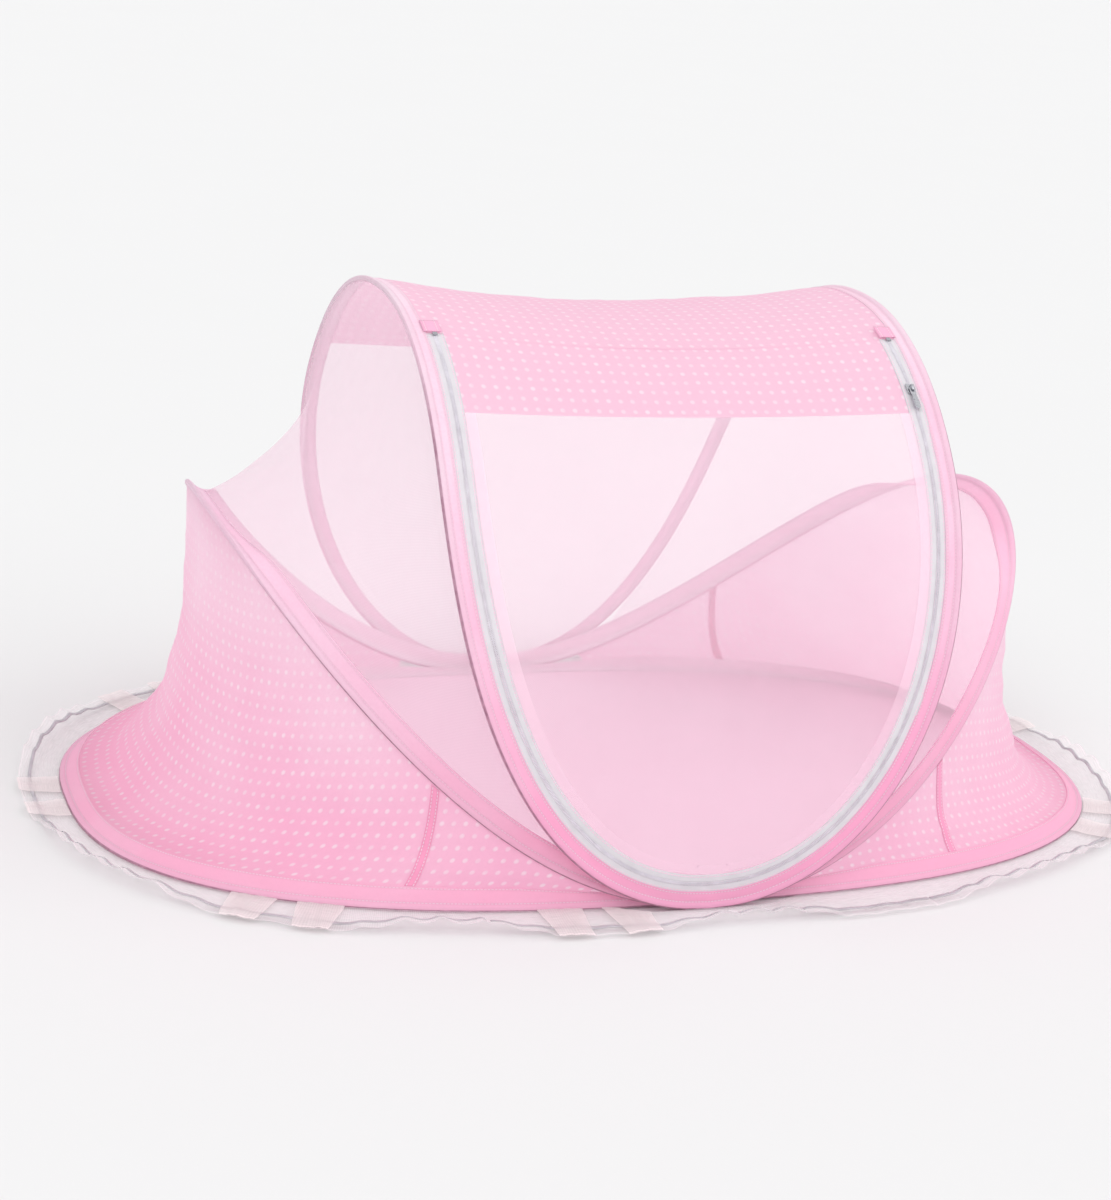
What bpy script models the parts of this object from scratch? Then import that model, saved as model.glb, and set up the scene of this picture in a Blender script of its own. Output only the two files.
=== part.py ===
"""Pop-up baby mosquito net tent: three sprung wire hoops in sewn sleeves, with net and dotted cloth
panels between them, a zipped front door, a floor and a gathered flounce round the base.

Metres, +Z up. The length runs along X, the door faces -Y, and the origin is on the ground under the
middle of the tent. The canopy hoop stays put. Each end (half of the base, end hoop, end panel) folds
up about the Y line through the front and rear points where all the hoops cross.
"""
from math import cos, pi, radians, sin, tan

import bmesh
import bpy
import numpy as np

# Base ring: a superellipse on the ground
BASE_HALF_LENGTH = 0.545
BASE_HALF_WIDTH = 0.333
BASE_SQUARENESS = 2.54

# End hoops: from the crossing points, just outside the base, up to a peak over each end
END_CLEAR = 0.0075
END_HALF_WIDTH = BASE_HALF_WIDTH + END_CLEAR
END_REACH = 0.430
END_HEIGHT = 0.316
END_REACH_POWER = 0.785
END_HEIGHT_POWER = 1.537

# Canopy hoop: a U at the front, a U at the rear, and a straight top on each side
CANOPY_CLEAR = 0.0065
CANOPY_HALF_WIDTH = END_HALF_WIDTH + CANOPY_CLEAR
CANOPY_HALF_SPAN = 0.258
CANOPY_HEIGHT = 0.521
CANOPY_ROUNDNESS = 2.189
CANOPY_U_HEIGHT = 0.400
CANOPY_U_POWER = 2.1

# Wire and sleeve
WIRE_RADIUS = 0.00125
FERRULE_RADIUS = 0.00180
FERRULE_LENGTH = 0.030
SLEEVE_BORE = 0.00240
SLEEVE_RADIUS = 0.0030
SLEEVE_WIDTH = 0.020
CANOPY_SLEEVE_WIDTH = 0.015
SLEEVE_EDGE = 0.0008
SLEEVE_SHOULDER = 0.0052
SLEEVE_SHOULDER_SHARE = 0.75
SLEEVE_FLANK = 0.00276
SLEEVE_OPENING = 0.006
END_SLEEVE_UPRIGHT_TO = 0.50
END_SLEEVE_UPRIGHT_BLEND = 0.45
END_SLEEVE_LEAN_BLEND = 0.60
END_SLEEVE_DROOP = 1.50
END_SLEEVE_DROOP_FROM = 0.80
END_SLEEVE_DROOP_BLEND = 0.60
BASE_LEAN_FRONT = radians(15)
BASE_LEAN_END = radians(60)
END_SHARE_POWER = 4
BASE_SLEEVE_TIP = 0.0048
BASE_SLEEVE_TAPER = 0.082

# Cloth
NET_THICKNESS = 0.0008
CLOTH_THICKNESS = 0.0010
FLOOR_THICKNESS = 0.0012
GAP = 0.0003
ROOF_SAG = 0.018
SIDE_SAG = 0.044
END_PANEL_HOLLOW_EDGE = 0.50
END_PANEL_HOLLOW_MIDDLE = 0.96
END_PANEL_DRAWN_IN = 0.22

# Door and zip
DOOR_TOP_DROP = 0.021
DOOR_BAND_DEPTH = 0.056
REAR_BAND_DEPTH = 0.080
DOOR_TOP_HEIGHT = CANOPY_HEIGHT - DOOR_TOP_DROP
DOOR_BAND_HEIGHT = DOOR_TOP_HEIGHT - DOOR_BAND_DEPTH
REAR_BAND_HEIGHT = DOOR_TOP_HEIGHT - REAR_BAND_DEPTH
ZIP_TAPE_WIDTH = 0.0050
ZIP_COIL_WIDTH = 0.0016
ZIP_COIL_HEIGHT = 0.0022
ZIP_SPLIT = 0.0014
SLIDER_DROP = 0.038
SLIDER_HEIGHT = DOOR_TOP_HEIGHT - SLIDER_DROP
SLIDER_LENGTH = 0.0125
SLIDER_WIDTH = 0.0095
SLIDER_PLATE = 0.0010
SLIDER_WEB = 0.0008
SLIDER_WEB_SHARE = 0.85
SLIDER_TAPER = 0.75
SLIDER_PLAY = 0.0006
SLIDER_RUN_DROP = 0.092
SLIDER_RUN_LOW = DOOR_TOP_HEIGHT - SLIDER_RUN_DROP
SLIDER_RUN_MIDDLE = DOOR_TOP_HEIGHT - SLIDER_RUN_DROP / 2
PULL_LENGTH = 0.026
PULL_WIDTH = 0.0058
PULL_THICKNESS = 0.0010
PULL_LIFT = 0.0008
PULL_EYE_BAR = 0.0012
PULL_EYE_WIDTH = 0.0062
PULL_EYE_HOLE_WIDTH = 0.0030
PULL_EYE_HOLE_LENGTH = 0.0044
BAIL_HEIGHT = 0.0036
BAIL_THICKNESS = 0.0010
BAIL_HALF_WIDTH = 0.0007
BAIL_HALF_LENGTH = 0.0028
STOP_LENGTH = 0.004

# Flounce and ribbon
FLOUNCE_WIDTH = 0.062
FLOUNCE_END_WIDTH = 0.040
FLOUNCE_THICKNESS = 0.0008
FLOUNCE_DRAW = 0.06
FLOUNCE_WAVE = 0.016
FLOUNCE_WAVE_LENGTH = 0.086
FLOUNCE_CENTRE_HALF = 0.215
FLOUNCE_FALL_POWER = 2
FLOUNCE_CREST_POWER = 1.3
CROSSING_CLEAR = 0.100
CROSSING_BLEND = 0.040
RIBBON_PLACE = 0.68
RIBBON_WIDTH = 0.0050
RIBBON_THICKNESS = 0.0008

# Seam tapes on the end panels
SEAM_TAPE_WIDTH = 0.010
SEAM_TAPE_THICKNESS = 0.0006
SEAM_TAPE_START = 0.35
SEAM_TAPE_LEAN = 0.33
SEAM_TAPE_INSET = 0.12

# Fold of the ends
FOLD_ANGLE = radians(30)
FOLD_MARGIN = radians(4)
SEAM_GAP = 0.0004

# Steps of the mesh
U_STEPS = 9
LIMB_STEPS = 2
TOP_STEPS = 3
QUARTER_STEPS = U_STEPS + LIMB_STEPS + TOP_STEPS
SPAN_STEPS = 8
SIDE_STEPS = 4
END_STEPS = 5
ZIP_SPLITS = 4
WIRE_CORNERS = 6
WAVE_STEPS = 4
RUN_SAMPLES = 900
CURVE_SAMPLES = 1200
STEP = 0.0005
TINY = 0.000001

FLOUNCE_ROWS = (0.0, RIBBON_PLACE / 2, RIBBON_PLACE, RIBBON_PLACE + RIBBON_WIDTH / FLOUNCE_WIDTH, 1.0)
WIRE_Z = SLEEVE_RADIUS + GAP
FOLD_Z = WIRE_Z + SLEEVE_RADIUS + SLEEVE_EDGE
TIP_ROOM = 0.0012
FIRST_SIDE_STATION = 4
FIRST_END_STATION = 3
SEAM_TAPE_STATION = 5

PINK = (0.93, 0.42, 0.60, 1.0)
DOTTED_PINK = (0.96, 0.50, 0.66, 1.0)
NET_PINK = (0.97, 0.80, 0.84, 1.0)
FLOOR_PINK = (0.97, 0.60, 0.72, 1.0)
WHITE = (0.92, 0.90, 0.91, 1.0)
LILAC_GREY = (0.60, 0.57, 0.62, 1.0)
FLOUNCE_WHITE = (0.93, 0.86, 0.88, 1.0)
STEEL = (0.50, 0.50, 0.52, 1.0)


def unit(vector):
    return vector / np.linalg.norm(vector)


def smooth(value):
    value = min(max(value, 0.0), 1.0)
    return value * value * (3 - 2 * value)


def material(name, colour, roughness, metallic=0.0):
    made = bpy.data.materials.new(name)
    made.use_nodes = True
    shader = made.node_tree.nodes["Principled BSDF"]
    shader.inputs["Base Color"].default_value = colour
    shader.inputs["Roughness"].default_value = roughness
    shader.inputs["Metallic"].default_value = metallic
    return made


def new_object(name, vertices, faces, colour, roughness=0.9, metallic=0.0, origin=(0, 0, 0)):
    """A mesh object with its own material and its origin at the given point."""
    mesh = bpy.data.meshes.new(name)
    shifted = [tuple(np.asarray(vertex) - np.asarray(origin)) for vertex in vertices]
    mesh.from_pydata(shifted, [], faces)
    mesh.materials.append(material(name, colour, roughness, metallic))
    made = bpy.data.objects.new(name, mesh)
    made.location = origin
    bpy.context.scene.collection.objects.link(made)
    return made


def merge_and_orient(made):
    """Joins points that lie on each other and turns all the faces outwards."""
    work = bmesh.new()
    work.from_mesh(made.data)
    bmesh.ops.remove_doubles(work, verts=work.verts, dist=0.00002)
    bmesh.ops.recalc_face_normals(work, faces=work.faces)
    work.to_mesh(made.data)
    work.free()


# Curves: side is +1 or -1, front is -1 at the door and +1 at the rear, s runs from 0 to pi/2
def base_point(side, front, s):
    power = 2 / BASE_SQUARENESS
    return np.array((side * BASE_HALF_LENGTH * sin(s) ** power,
                     front * BASE_HALF_WIDTH * max(cos(s), 0.0) ** power,
                     WIRE_Z))


def end_point(side, front, s):
    return np.array((side * END_REACH * sin(s) ** END_REACH_POWER,
                     front * END_HALF_WIDTH * cos(s),
                     WIRE_Z + END_HEIGHT * sin(s) ** END_HEIGHT_POWER))


def canopy_profile(front, s):
    """Depth and height of the canopy surface, the same all across its width."""
    power = 2 / CANOPY_ROUNDNESS
    return (front * CANOPY_HALF_WIDTH * max(cos(s), 0.0) ** power,
            WIRE_Z + CANOPY_HEIGHT * sin(s) ** power)


def canopy_point(side, front, s):
    depth, height = canopy_profile(front, s)
    share = min((height - WIRE_Z) / CANOPY_U_HEIGHT, 1.0)
    reach = CANOPY_HALF_SPAN * (1 - (1 - share) ** CANOPY_U_POWER) ** (1 / CANOPY_U_POWER)
    return np.array((side * reach, depth, height))


def canopy_parameter(height):
    """The s at which the canopy surface has this height."""
    from_height = ((height - WIRE_Z) / CANOPY_HEIGHT) ** (CANOPY_ROUNDNESS / 2)
    return float(np.arcsin(from_height))


def even_parameters(curve, start, stop, steps):
    """Values of s from start to stop that cut the curve into equal lengths."""
    dense = np.linspace(start, stop, CURVE_SAMPLES)
    points = np.array([curve(1, 1, s) for s in dense])
    length = np.concatenate(([0], np.cumsum(np.linalg.norm(np.diff(points, axis=0), axis=1))))
    return list(np.interp(np.linspace(0, length[-1], steps + 1), length, dense))


def broken_parameters(curve, breaks):
    """Equal steps between values of s that a panel's edge needs; breaks holds (s, steps) pairs."""
    parameters = [0.0]
    for stop, steps in breaks:
        parameters += even_parameters(curve, parameters[-1], stop, steps)[1:]
    return parameters


DOOR_TOP_S = canopy_parameter(DOOR_TOP_HEIGHT)
DOOR_BAND_S = canopy_parameter(DOOR_BAND_HEIGHT)
REAR_BAND_S = canopy_parameter(REAR_BAND_HEIGHT)
STRAIGHT_S = canopy_parameter(CANOPY_U_HEIGHT + WIRE_Z)
CANOPY_S = {-1: broken_parameters(canopy_point, ((STRAIGHT_S, U_STEPS), (DOOR_TOP_S, LIMB_STEPS),
                                                 (pi / 2, TOP_STEPS))),
            1: broken_parameters(canopy_point, ((REAR_BAND_S, U_STEPS),
                                                (pi / 2, LIMB_STEPS + TOP_STEPS)))}
END_S = even_parameters(end_point, 0, pi / 2, QUARTER_STEPS)
BASE_S = even_parameters(base_point, 0, pi / 2, QUARTER_STEPS)


def tangent(curve, side, front, s):
    """Unit direction of growing s along a hoop; straight out sideways where the hoop crosses x = 0."""
    if s < STEP:
        return np.array((side, 0.0, 0.0))
    if s > pi / 2 - STEP:
        return np.array((0.0, -front, 0.0))
    return unit(curve(side, front, s + STEP) - curve(side, front, s - STEP))


def canopy_width_direction(side, front, s):
    """Across the canopy sleeve, in the canopy surface, towards the middle of the opening."""
    along = tangent(canopy_point, side, front, s)
    low = np.array((0.0, *canopy_profile(front, max(s - STEP, 0.0))))
    high = np.array((0.0, *canopy_profile(front, min(s + STEP, pi / 2))))
    up_surface = unit(high - low)
    if s > pi / 2 - STEP:
        return np.array((-side, 0.0, 0.0))
    if s < STEP:
        return np.array((0.0, 0.0, 1.0))
    sideways = np.linalg.norm(along[1:])
    return unit(np.array((-side * sideways, 0.0, 0.0)) + abs(along[0]) * up_surface)


def end_width_direction(side, front, s):
    """Across the end sleeve, from its wire towards the canopy hoop, and flatter near the peak."""
    along = tangent(end_point, side, front, s)
    towards = canopy_point(side, front, s) - end_point(side, front, s)
    towards[1] *= smooth((s - END_SLEEVE_UPRIGHT_TO) / END_SLEEVE_LEAN_BLEND)
    towards[2] *= 1 - END_SLEEVE_DROOP * smooth((s - END_SLEEVE_DROOP_FROM) / END_SLEEVE_DROOP_BLEND)
    upright = smooth((END_SLEEVE_UPRIGHT_TO - s) / END_SLEEVE_UPRIGHT_BLEND)
    towards = (1 - upright) * unit(towards + np.array((0, 0, TINY))) + upright * np.array((0, 0, 1.0))
    return unit(towards - towards.dot(along) * along)


def end_share(point):
    """How far a base point is towards the end of the tent: 0 at the crossing, 1 at the very end."""
    return (abs(point[0]) / BASE_HALF_LENGTH) ** END_SHARE_POWER


def base_width_direction(side, front, s):
    """Across the base sleeve: upright at the front and rear, lying inwards at the ends."""
    along = tangent(base_point, side, front, s)
    inward = unit(np.cross((0, 0, 1), along) * -side * front)
    lean = BASE_LEAN_FRONT + (BASE_LEAN_END - BASE_LEAN_FRONT) * end_share(base_point(side, front, s))
    return np.array((0, 0, cos(lean))) + sin(lean) * inward


def station(curve, width_direction, side, front, s, flow):
    """A point of a hoop with its tangent (in the direction of travel) and its width direction."""
    return (curve(side, front, s), flow * tangent(curve, side, front, s),
            width_direction(side, front, s))


def half_loop(curve, width_direction, parameters, side):
    """Stations from the front crossing round one side to the rear crossing."""
    rows = [station(curve, width_direction, side, -1, s, 1) for s in parameters[-1]]
    rows += [station(curve, width_direction, side, 1, s, -1) for s in parameters[1][-2::-1]]
    return rows


def split_ends(rows, side):
    """Moves the two end stations a hair off x = 0, so that the halves of a hoop don't touch."""
    shift = np.array((side * SEAM_GAP / 2, 0, 0))
    for index in (0, -1):
        point, along, across = rows[index]
        rows[index] = (point + shift, along, across)
    return rows


END_PARAMETERS = {-1: END_S, 1: END_S}
BASE_PARAMETERS = {-1: BASE_S, 1: BASE_S}
CANOPY_ROWS = {side: half_loop(canopy_point, canopy_width_direction, CANOPY_S, side) for side in (1, -1)}
END_ROWS = {side: split_ends(half_loop(end_point, end_width_direction, END_PARAMETERS, side), side)
            for side in (1, -1)}
BASE_ROWS = {side: split_ends(half_loop(base_point, base_width_direction, BASE_PARAMETERS, side), side)
             for side in (1, -1)}


def canopy_loop():
    """The whole canopy hoop, from the rear crossing up the right side, over and back by the left."""
    right = CANOPY_ROWS[1][::-1]
    left = CANOPY_ROWS[-1]
    right = [(point, -along, across) for point, along, across in right]
    return right + left[1:]


def polygon(radius, corners):
    return [(radius * cos(2 * pi * k / corners), radius * sin(2 * pi * k / corners))
            for k in range(corners)]


def ring(row, profile):
    point, along, across = row
    normal = np.cross(along, across)
    return [point + across * w + normal * n for w, n in profile]


def sleeve_profile(width):
    """Outer outline of a sleeve: round over the wire, flat beyond its shoulder."""
    edge = SLEEVE_EDGE
    shoulder = min(SLEEVE_SHOULDER, SLEEVE_SHOULDER_SHARE * width)
    return [(-SLEEVE_RADIUS, 0), (-SLEEVE_RADIUS / 2, -SLEEVE_FLANK), (SLEEVE_RADIUS / 2, -SLEEVE_FLANK),
            (shoulder, -edge), (width, -edge), (width, edge), (shoulder, edge),
            (SLEEVE_RADIUS / 2, SLEEVE_FLANK), (-SLEEVE_RADIUS / 2, SLEEVE_FLANK)]


def sweep_faces(rings, count, closed):
    faces = []
    total = len(rings)
    for i in range(total if closed else total - 1):
        j = (i + 1) % total
        for k in range(count):
            m = (k + 1) % count
            faces.append((i * count + k, i * count + m, j * count + m, j * count + k))
    return faces


def solid_sweep(name, rows, profile, closed, colour, roughness=0.9, metallic=0.0):
    """A solid bar of one outline along the stations."""
    rings = [ring(row, profile) for row in rows]
    count = len(profile)
    vertices = [point for one in rings for point in one]
    faces = sweep_faces(rings, count, closed)
    if not closed:
        faces.append(tuple(range(count)))
        faces.append(tuple(range(len(vertices) - count, len(vertices))))
    made = new_object(name, vertices, faces, colour, roughness, metallic)
    merge_and_orient(made)
    made.data.shade_smooth()
    made.data.set_sharp_from_angle(angle=radians(50))
    return made


def tube_sweep(name, rows, widths, colour):
    """A sleeve: an outer skin and a bore along the stations, joined at the two open ends."""
    bore = polygon(SLEEVE_BORE, WIRE_CORNERS)
    outer = [ring(row, sleeve_profile(width)) for row, width in zip(rows, widths)]
    inner = [ring(row, bore) for row in rows]
    vertices = [point for one in outer for point in one]
    first_inner = len(vertices)
    vertices += [point for one in inner for point in one]
    outer_count = len(outer[0])
    faces = sweep_faces(outer, outer_count, False)
    faces += [tuple(first_inner + index for index in reversed(face))
              for face in sweep_faces(inner, len(bore), False)]
    made = new_object(name, vertices, faces, colour)
    work = bmesh.new()
    work.from_mesh(made.data)
    work.verts.ensure_lookup_table()
    for outer_start, inner_start in ((0, first_inner),
                                     (first_inner - outer_count, len(vertices) - len(bore))):
        ends = set(range(outer_start, outer_start + outer_count))
        ends |= set(range(inner_start, inner_start + len(bore)))
        edges = [edge for edge in work.edges
                 if edge.verts[0].index in ends and edge.verts[1].index in ends]
        bmesh.ops.triangle_fill(work, edges=edges, use_beauty=True)
    bmesh.ops.recalc_face_normals(work, faces=work.faces)
    work.to_mesh(made.data)
    work.free()
    made.data.shade_smooth()
    made.data.set_sharp_from_angle(angle=radians(50))
    return made


def cloth(name, grid, thickness, colour, roughness=0.9):
    """A sheet of cloth over a grid of points, thickened evenly to both sides."""
    rows = len(grid)
    columns = len(grid[0])
    vertices = [point for row in grid for point in row]
    faces = [(i * columns + j, i * columns + j + 1, (i + 1) * columns + j + 1, (i + 1) * columns + j)
             for i in range(rows - 1) for j in range(columns - 1)]
    made = new_object(name, vertices, faces, colour, roughness)
    merge_and_orient(made)
    thicken = made.modifiers.new("thickness", "SOLIDIFY")
    thicken.thickness = thickness
    thicken.offset = 0.0
    thicken.use_even_offset = True
    made.data.shade_smooth()
    made.data.set_sharp_from_angle(angle=radians(40))
    return made


# Frame and sleeves
def canopy_frame():
    loop = canopy_loop()
    solid_sweep("canopy_wire", loop[:-1], polygon(WIRE_RADIUS, WIRE_CORNERS), True, STEEL, 0.4, 1.0)
    point, along, across = loop[0]
    half = np.array((SLEEVE_OPENING / 2, 0, 0))
    start = (point + half, along, across)
    stop = (point - half, along, across)
    rows = [start] + loop[1:-1] + [stop]
    tube_sweep("canopy_sleeve", rows, [CANOPY_SLEEVE_WIDTH] * len(rows), PINK)


def canopy_ferrule():
    """A crimped tube over the two ends of the canopy wire, at the front crossing."""
    point, along, across = CANOPY_ROWS[1][0]
    normal = np.cross(along, across)
    outline = polygon(FERRULE_RADIUS, WIRE_CORNERS)
    bore = polygon(WIRE_RADIUS + GAP / 2, WIRE_CORNERS)
    next_point = CANOPY_ROWS[1][1][0]
    reach = (next_point - point) * FERRULE_LENGTH / 2 / next_point[0]
    right = point + reach
    left = point + reach * np.array((-1, 1, 1))
    rings = []
    for corners, centre in ((outline, left), (outline, point), (outline, right),
                            (bore, right), (bore, point), (bore, left)):
        rings.append([centre + across * w + normal * n for w, n in corners])
    vertices = [corner for one in rings for corner in one]
    faces = sweep_faces(rings, WIRE_CORNERS, True)
    made = new_object("canopy_ferrule", vertices, faces, STEEL, 0.35, 1.0)
    merge_and_orient(made)


def sleeve_width(kind, point):
    """Sleeve width at a point: narrow at x = 0, so that the two folded ends stay apart."""
    width = min(SLEEVE_WIDTH, SLEEVE_RADIUS + GAP + abs(point[0]) / tan(FOLD_ANGLE + FOLD_MARGIN))
    if kind == "base":
        width = min(width, BASE_SLEEVE_TIP + abs(point[0]) * BASE_SLEEVE_TAPER)
    return width


def with_notch_station(rows):
    """Adds a station at each end of a half hoop where its sleeve reaches full width."""
    reach = SLEEVE_WIDTH * tan(FOLD_ANGLE + FOLD_MARGIN)
    front = rows[0]
    rear = rows[-1]
    front_share = reach / abs(rows[1][0][0])
    rear_share = reach / abs(rows[-2][0][0])
    front_extra = (front[0] + (rows[1][0] - front[0]) * front_share, front[1], front[2])
    rear_extra = (rear[0] + (rows[-2][0] - rear[0]) * rear_share, rear[1], rear[2])
    return [front, front_extra] + rows[1:-1] + [rear_extra, rear]


def end_frames():
    for side, word in ((1, "right"), (-1, "left")):
        for kind, all_rows in (("end", END_ROWS), ("base", BASE_ROWS)):
            rows = with_notch_station(all_rows[side])
            solid_sweep(f"{kind}_wire_{word}", rows, polygon(WIRE_RADIUS, WIRE_CORNERS), False, STEEL,
                        0.4, 1.0)
            widths = [sleeve_width(kind, point) for point, _, _ in rows]
            tube_sweep(f"{kind}_sleeve_{word}", rows, widths, PINK)


# Canopy surface: roof, rear net and door lie in it
def surface_edge(side, front, s, offset):
    """A point of the canopy surface at this distance inside the wire."""
    return canopy_point(side, front, s) + offset * canopy_width_direction(side, front, s)


def surface_normal(front, s):
    """Outward unit normal of the canopy surface."""
    low = canopy_profile(front, max(s - STEP, 0.0))
    high = canopy_profile(front, min(s + STEP, pi / 2))
    run, rise = high[0] - low[0], high[1] - low[1]
    return unit(np.array((0.0, front * rise, -front * run)))


def surface_row(front, s, offset, steps=SPAN_STEPS):
    """Points straight across the canopy surface, with the sag of cloth between two arches."""
    left = surface_edge(-1, front, s, offset)
    right = surface_edge(1, front, s, offset)
    inward = -surface_normal(front, s)
    row = []
    for k in range(steps + 1):
        share = k / steps
        bow = ROOF_SAG * smooth(s / (pi / 2)) ** 2 * 4 * share * (1 - share)
        row.append(left * (1 - share) + right * share + inward * bow)
    return row


def shift_row(front, s, change):
    """The s that lies this much farther along the canopy surface."""
    here = np.array(canopy_profile(front, s))
    there = np.array(canopy_profile(front, s - STEP))
    return s + change * STEP / np.linalg.norm(here - there)


PANEL_OFFSET = CANOPY_SLEEVE_WIDTH + GAP
FRAME_TAPE = (PANEL_OFFSET, PANEL_OFFSET + ZIP_TAPE_WIDTH)
FRAME_COIL = (FRAME_TAPE[1] + GAP, FRAME_TAPE[1] + GAP + ZIP_COIL_WIDTH)
DOOR_COIL = (FRAME_COIL[1] + ZIP_SPLIT, FRAME_COIL[1] + ZIP_SPLIT + ZIP_COIL_WIDTH)
DOOR_TAPE = (DOOR_COIL[1] + GAP, DOOR_COIL[1] + GAP + ZIP_TAPE_WIDTH)
DOOR_OFFSET = DOOR_TAPE[1] + GAP


def roof_panel():
    front_rows = CANOPY_S[-1][U_STEPS + LIMB_STEPS:]
    rear_rows = CANOPY_S[1][U_STEPS:]
    grid = [surface_row(-1, s, PANEL_OFFSET) for s in front_rows]
    grid += [surface_row(1, s, PANEL_OFFSET) for s in rear_rows[-2::-1]]
    cloth("roof_panel", grid, CLOTH_THICKNESS, DOTTED_PINK)


def rear_net():
    rows = list(CANOPY_S[1][:U_STEPS + 1])
    rows[-1] = shift_row(1, rows[-1], -CLOTH_THICKNESS)
    cloth("rear_net", [surface_row(1, s, PANEL_OFFSET) for s in rows], NET_THICKNESS, NET_PINK)


def zip_parameters():
    """Front stations up to the door's top, with finer ones where the slider travels."""
    rows = CANOPY_S[-1][:U_STEPS]
    straight = CANOPY_S[-1][U_STEPS:U_STEPS + LIMB_STEPS + 1]
    for first, last in zip(straight[:-1], straight[1:]):
        rows += [first + (last - first) * k / ZIP_SPLITS for k in range(ZIP_SPLITS)]
    return rows + [shift_row(-1, DOOR_TOP_S, -GAP)]


def zip_rows():
    """Stations along the zip: down the left side, round the bottom of the U and up the right side."""
    parameters = zip_parameters()
    rows = [(-1, s) for s in parameters[::-1]] + [(1, s) for s in parameters[1:]]
    return rows


def zip_strip(name, offsets, height, colour):
    """A flat strip of the zip between two distances from the wire."""
    rings = []
    for side, s in zip_rows():
        normal = surface_normal(-1, s) * height / 2
        near = surface_edge(side, -1, s, offsets[0])
        far = surface_edge(side, -1, s, offsets[1])
        rings.append([near - normal, far - normal, far + normal, near + normal])
    vertices = [point for one in rings for point in one]
    faces = sweep_faces(rings, 4, False)
    faces.append((0, 1, 2, 3))
    faces.append(tuple(range(len(vertices) - 4, len(vertices))))
    made = new_object(name, vertices, faces, colour)
    merge_and_orient(made)


def door():
    """Net below and dotted band above, between the door halves of the zip."""
    rows = zip_parameters()
    split = min(range(len(rows)), key=lambda k: abs(rows[k] - DOOR_BAND_S))
    band = [surface_row(-1, s, DOOR_OFFSET) for s in rows[split:]]
    net_top = shift_row(-1, rows[split], -CLOTH_THICKNESS)
    net = [surface_row(-1, s, DOOR_OFFSET) for s in rows[:split] + [net_top]]
    cloth("door_band", band, CLOTH_THICKNESS, DOTTED_PINK)
    cloth("door_net", net, NET_THICKNESS, NET_PINK)


# Slider: it runs on an arc of the right limb, between the two coils
def track_point(height):
    s = canopy_parameter(height)
    return surface_edge(1, -1, s, (FRAME_COIL[1] + DOOR_COIL[0]) / 2)


def track_centre():
    """Centre, in the plane of the limb, of the circle through three points of the slider's run."""
    first, middle, last = (track_point(height)[1:] for height in
                           (SLIDER_RUN_LOW, SLIDER_RUN_MIDDLE, DOOR_TOP_HEIGHT))
    matrix = np.array((middle - first, last - first)) * 2
    right = np.array((middle.dot(middle) - first.dot(first), last.dot(last) - first.dot(first)))
    depth, height = np.linalg.solve(matrix, right)
    return np.array((track_point(SLIDER_HEIGHT)[0], depth, height))


SLIDER_CENTRE = track_point(SLIDER_HEIGHT)
TRACK_CENTRE = track_centre()
SLIDER_OUT = unit(np.array((0.0, *(SLIDER_CENTRE - TRACK_CENTRE)[1:])))
SLIDER_ALONG = np.array((0.0, SLIDER_OUT[2], -SLIDER_OUT[1]))
PULL_PIVOT = SLIDER_CENTRE + SLIDER_OUT * (ZIP_COIL_HEIGHT / 2 + SLIDER_PLAY + SLIDER_PLATE + PULL_LIFT
                                           + PULL_THICKNESS / 2)


def block(name, place, half_width, half_length, low, high, taper=1.0, along=0.0):
    """A block across the zip: width along X, length along the track, from low to high outwards."""
    centre, forward, outward = place
    vertices = []
    for out in (low, high):
        for ahead, width in ((-half_length, half_width * taper), (half_length, half_width)):
            for sideways in (-width, width):
                vertices.append(centre + np.array((sideways, 0, 0)) + forward * (along + ahead)
                                + outward * out)
    faces = [(0, 1, 3, 2), (4, 5, 7, 6), (0, 1, 5, 4), (2, 3, 7, 6), (0, 2, 6, 4), (1, 3, 7, 5)]
    made = new_object(name, vertices, faces, STEEL, 0.3, 1.0, origin=centre)
    merge_and_orient(made)
    return made


def change_by(main, operation, others):
    """Fuses blocks to the main one or cuts them out of it."""
    for other in others:
        step = main.modifiers.new(other.name, "BOOLEAN")
        step.operation = operation
        step.object = other
        other.hide_render = True
        other.display_type = "WIRE"


SLIDER_PLACE = (SLIDER_CENTRE, SLIDER_ALONG, SLIDER_OUT)
PLATE_LOW = ZIP_COIL_HEIGHT / 2 + SLIDER_PLAY
PLATE_HIGH = PLATE_LOW + SLIDER_PLATE
SINK = 0.0002


def two_plates(name, place, half_width, half_length, taper):
    """Plates over and under the two coils, joined by a web in the split between them."""
    main = block(name, place, half_width, half_length, PLATE_LOW, PLATE_HIGH, taper)
    web = block(f"{name}_web", place, SLIDER_WEB / 2, half_length * SLIDER_WEB_SHARE,
                -PLATE_LOW - SINK, PLATE_LOW + SINK)
    back = block(f"{name}_back", place, half_width, half_length, -PLATE_HIGH, -PLATE_LOW, taper)
    change_by(main, "UNION", [web, back])
    return main


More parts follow.
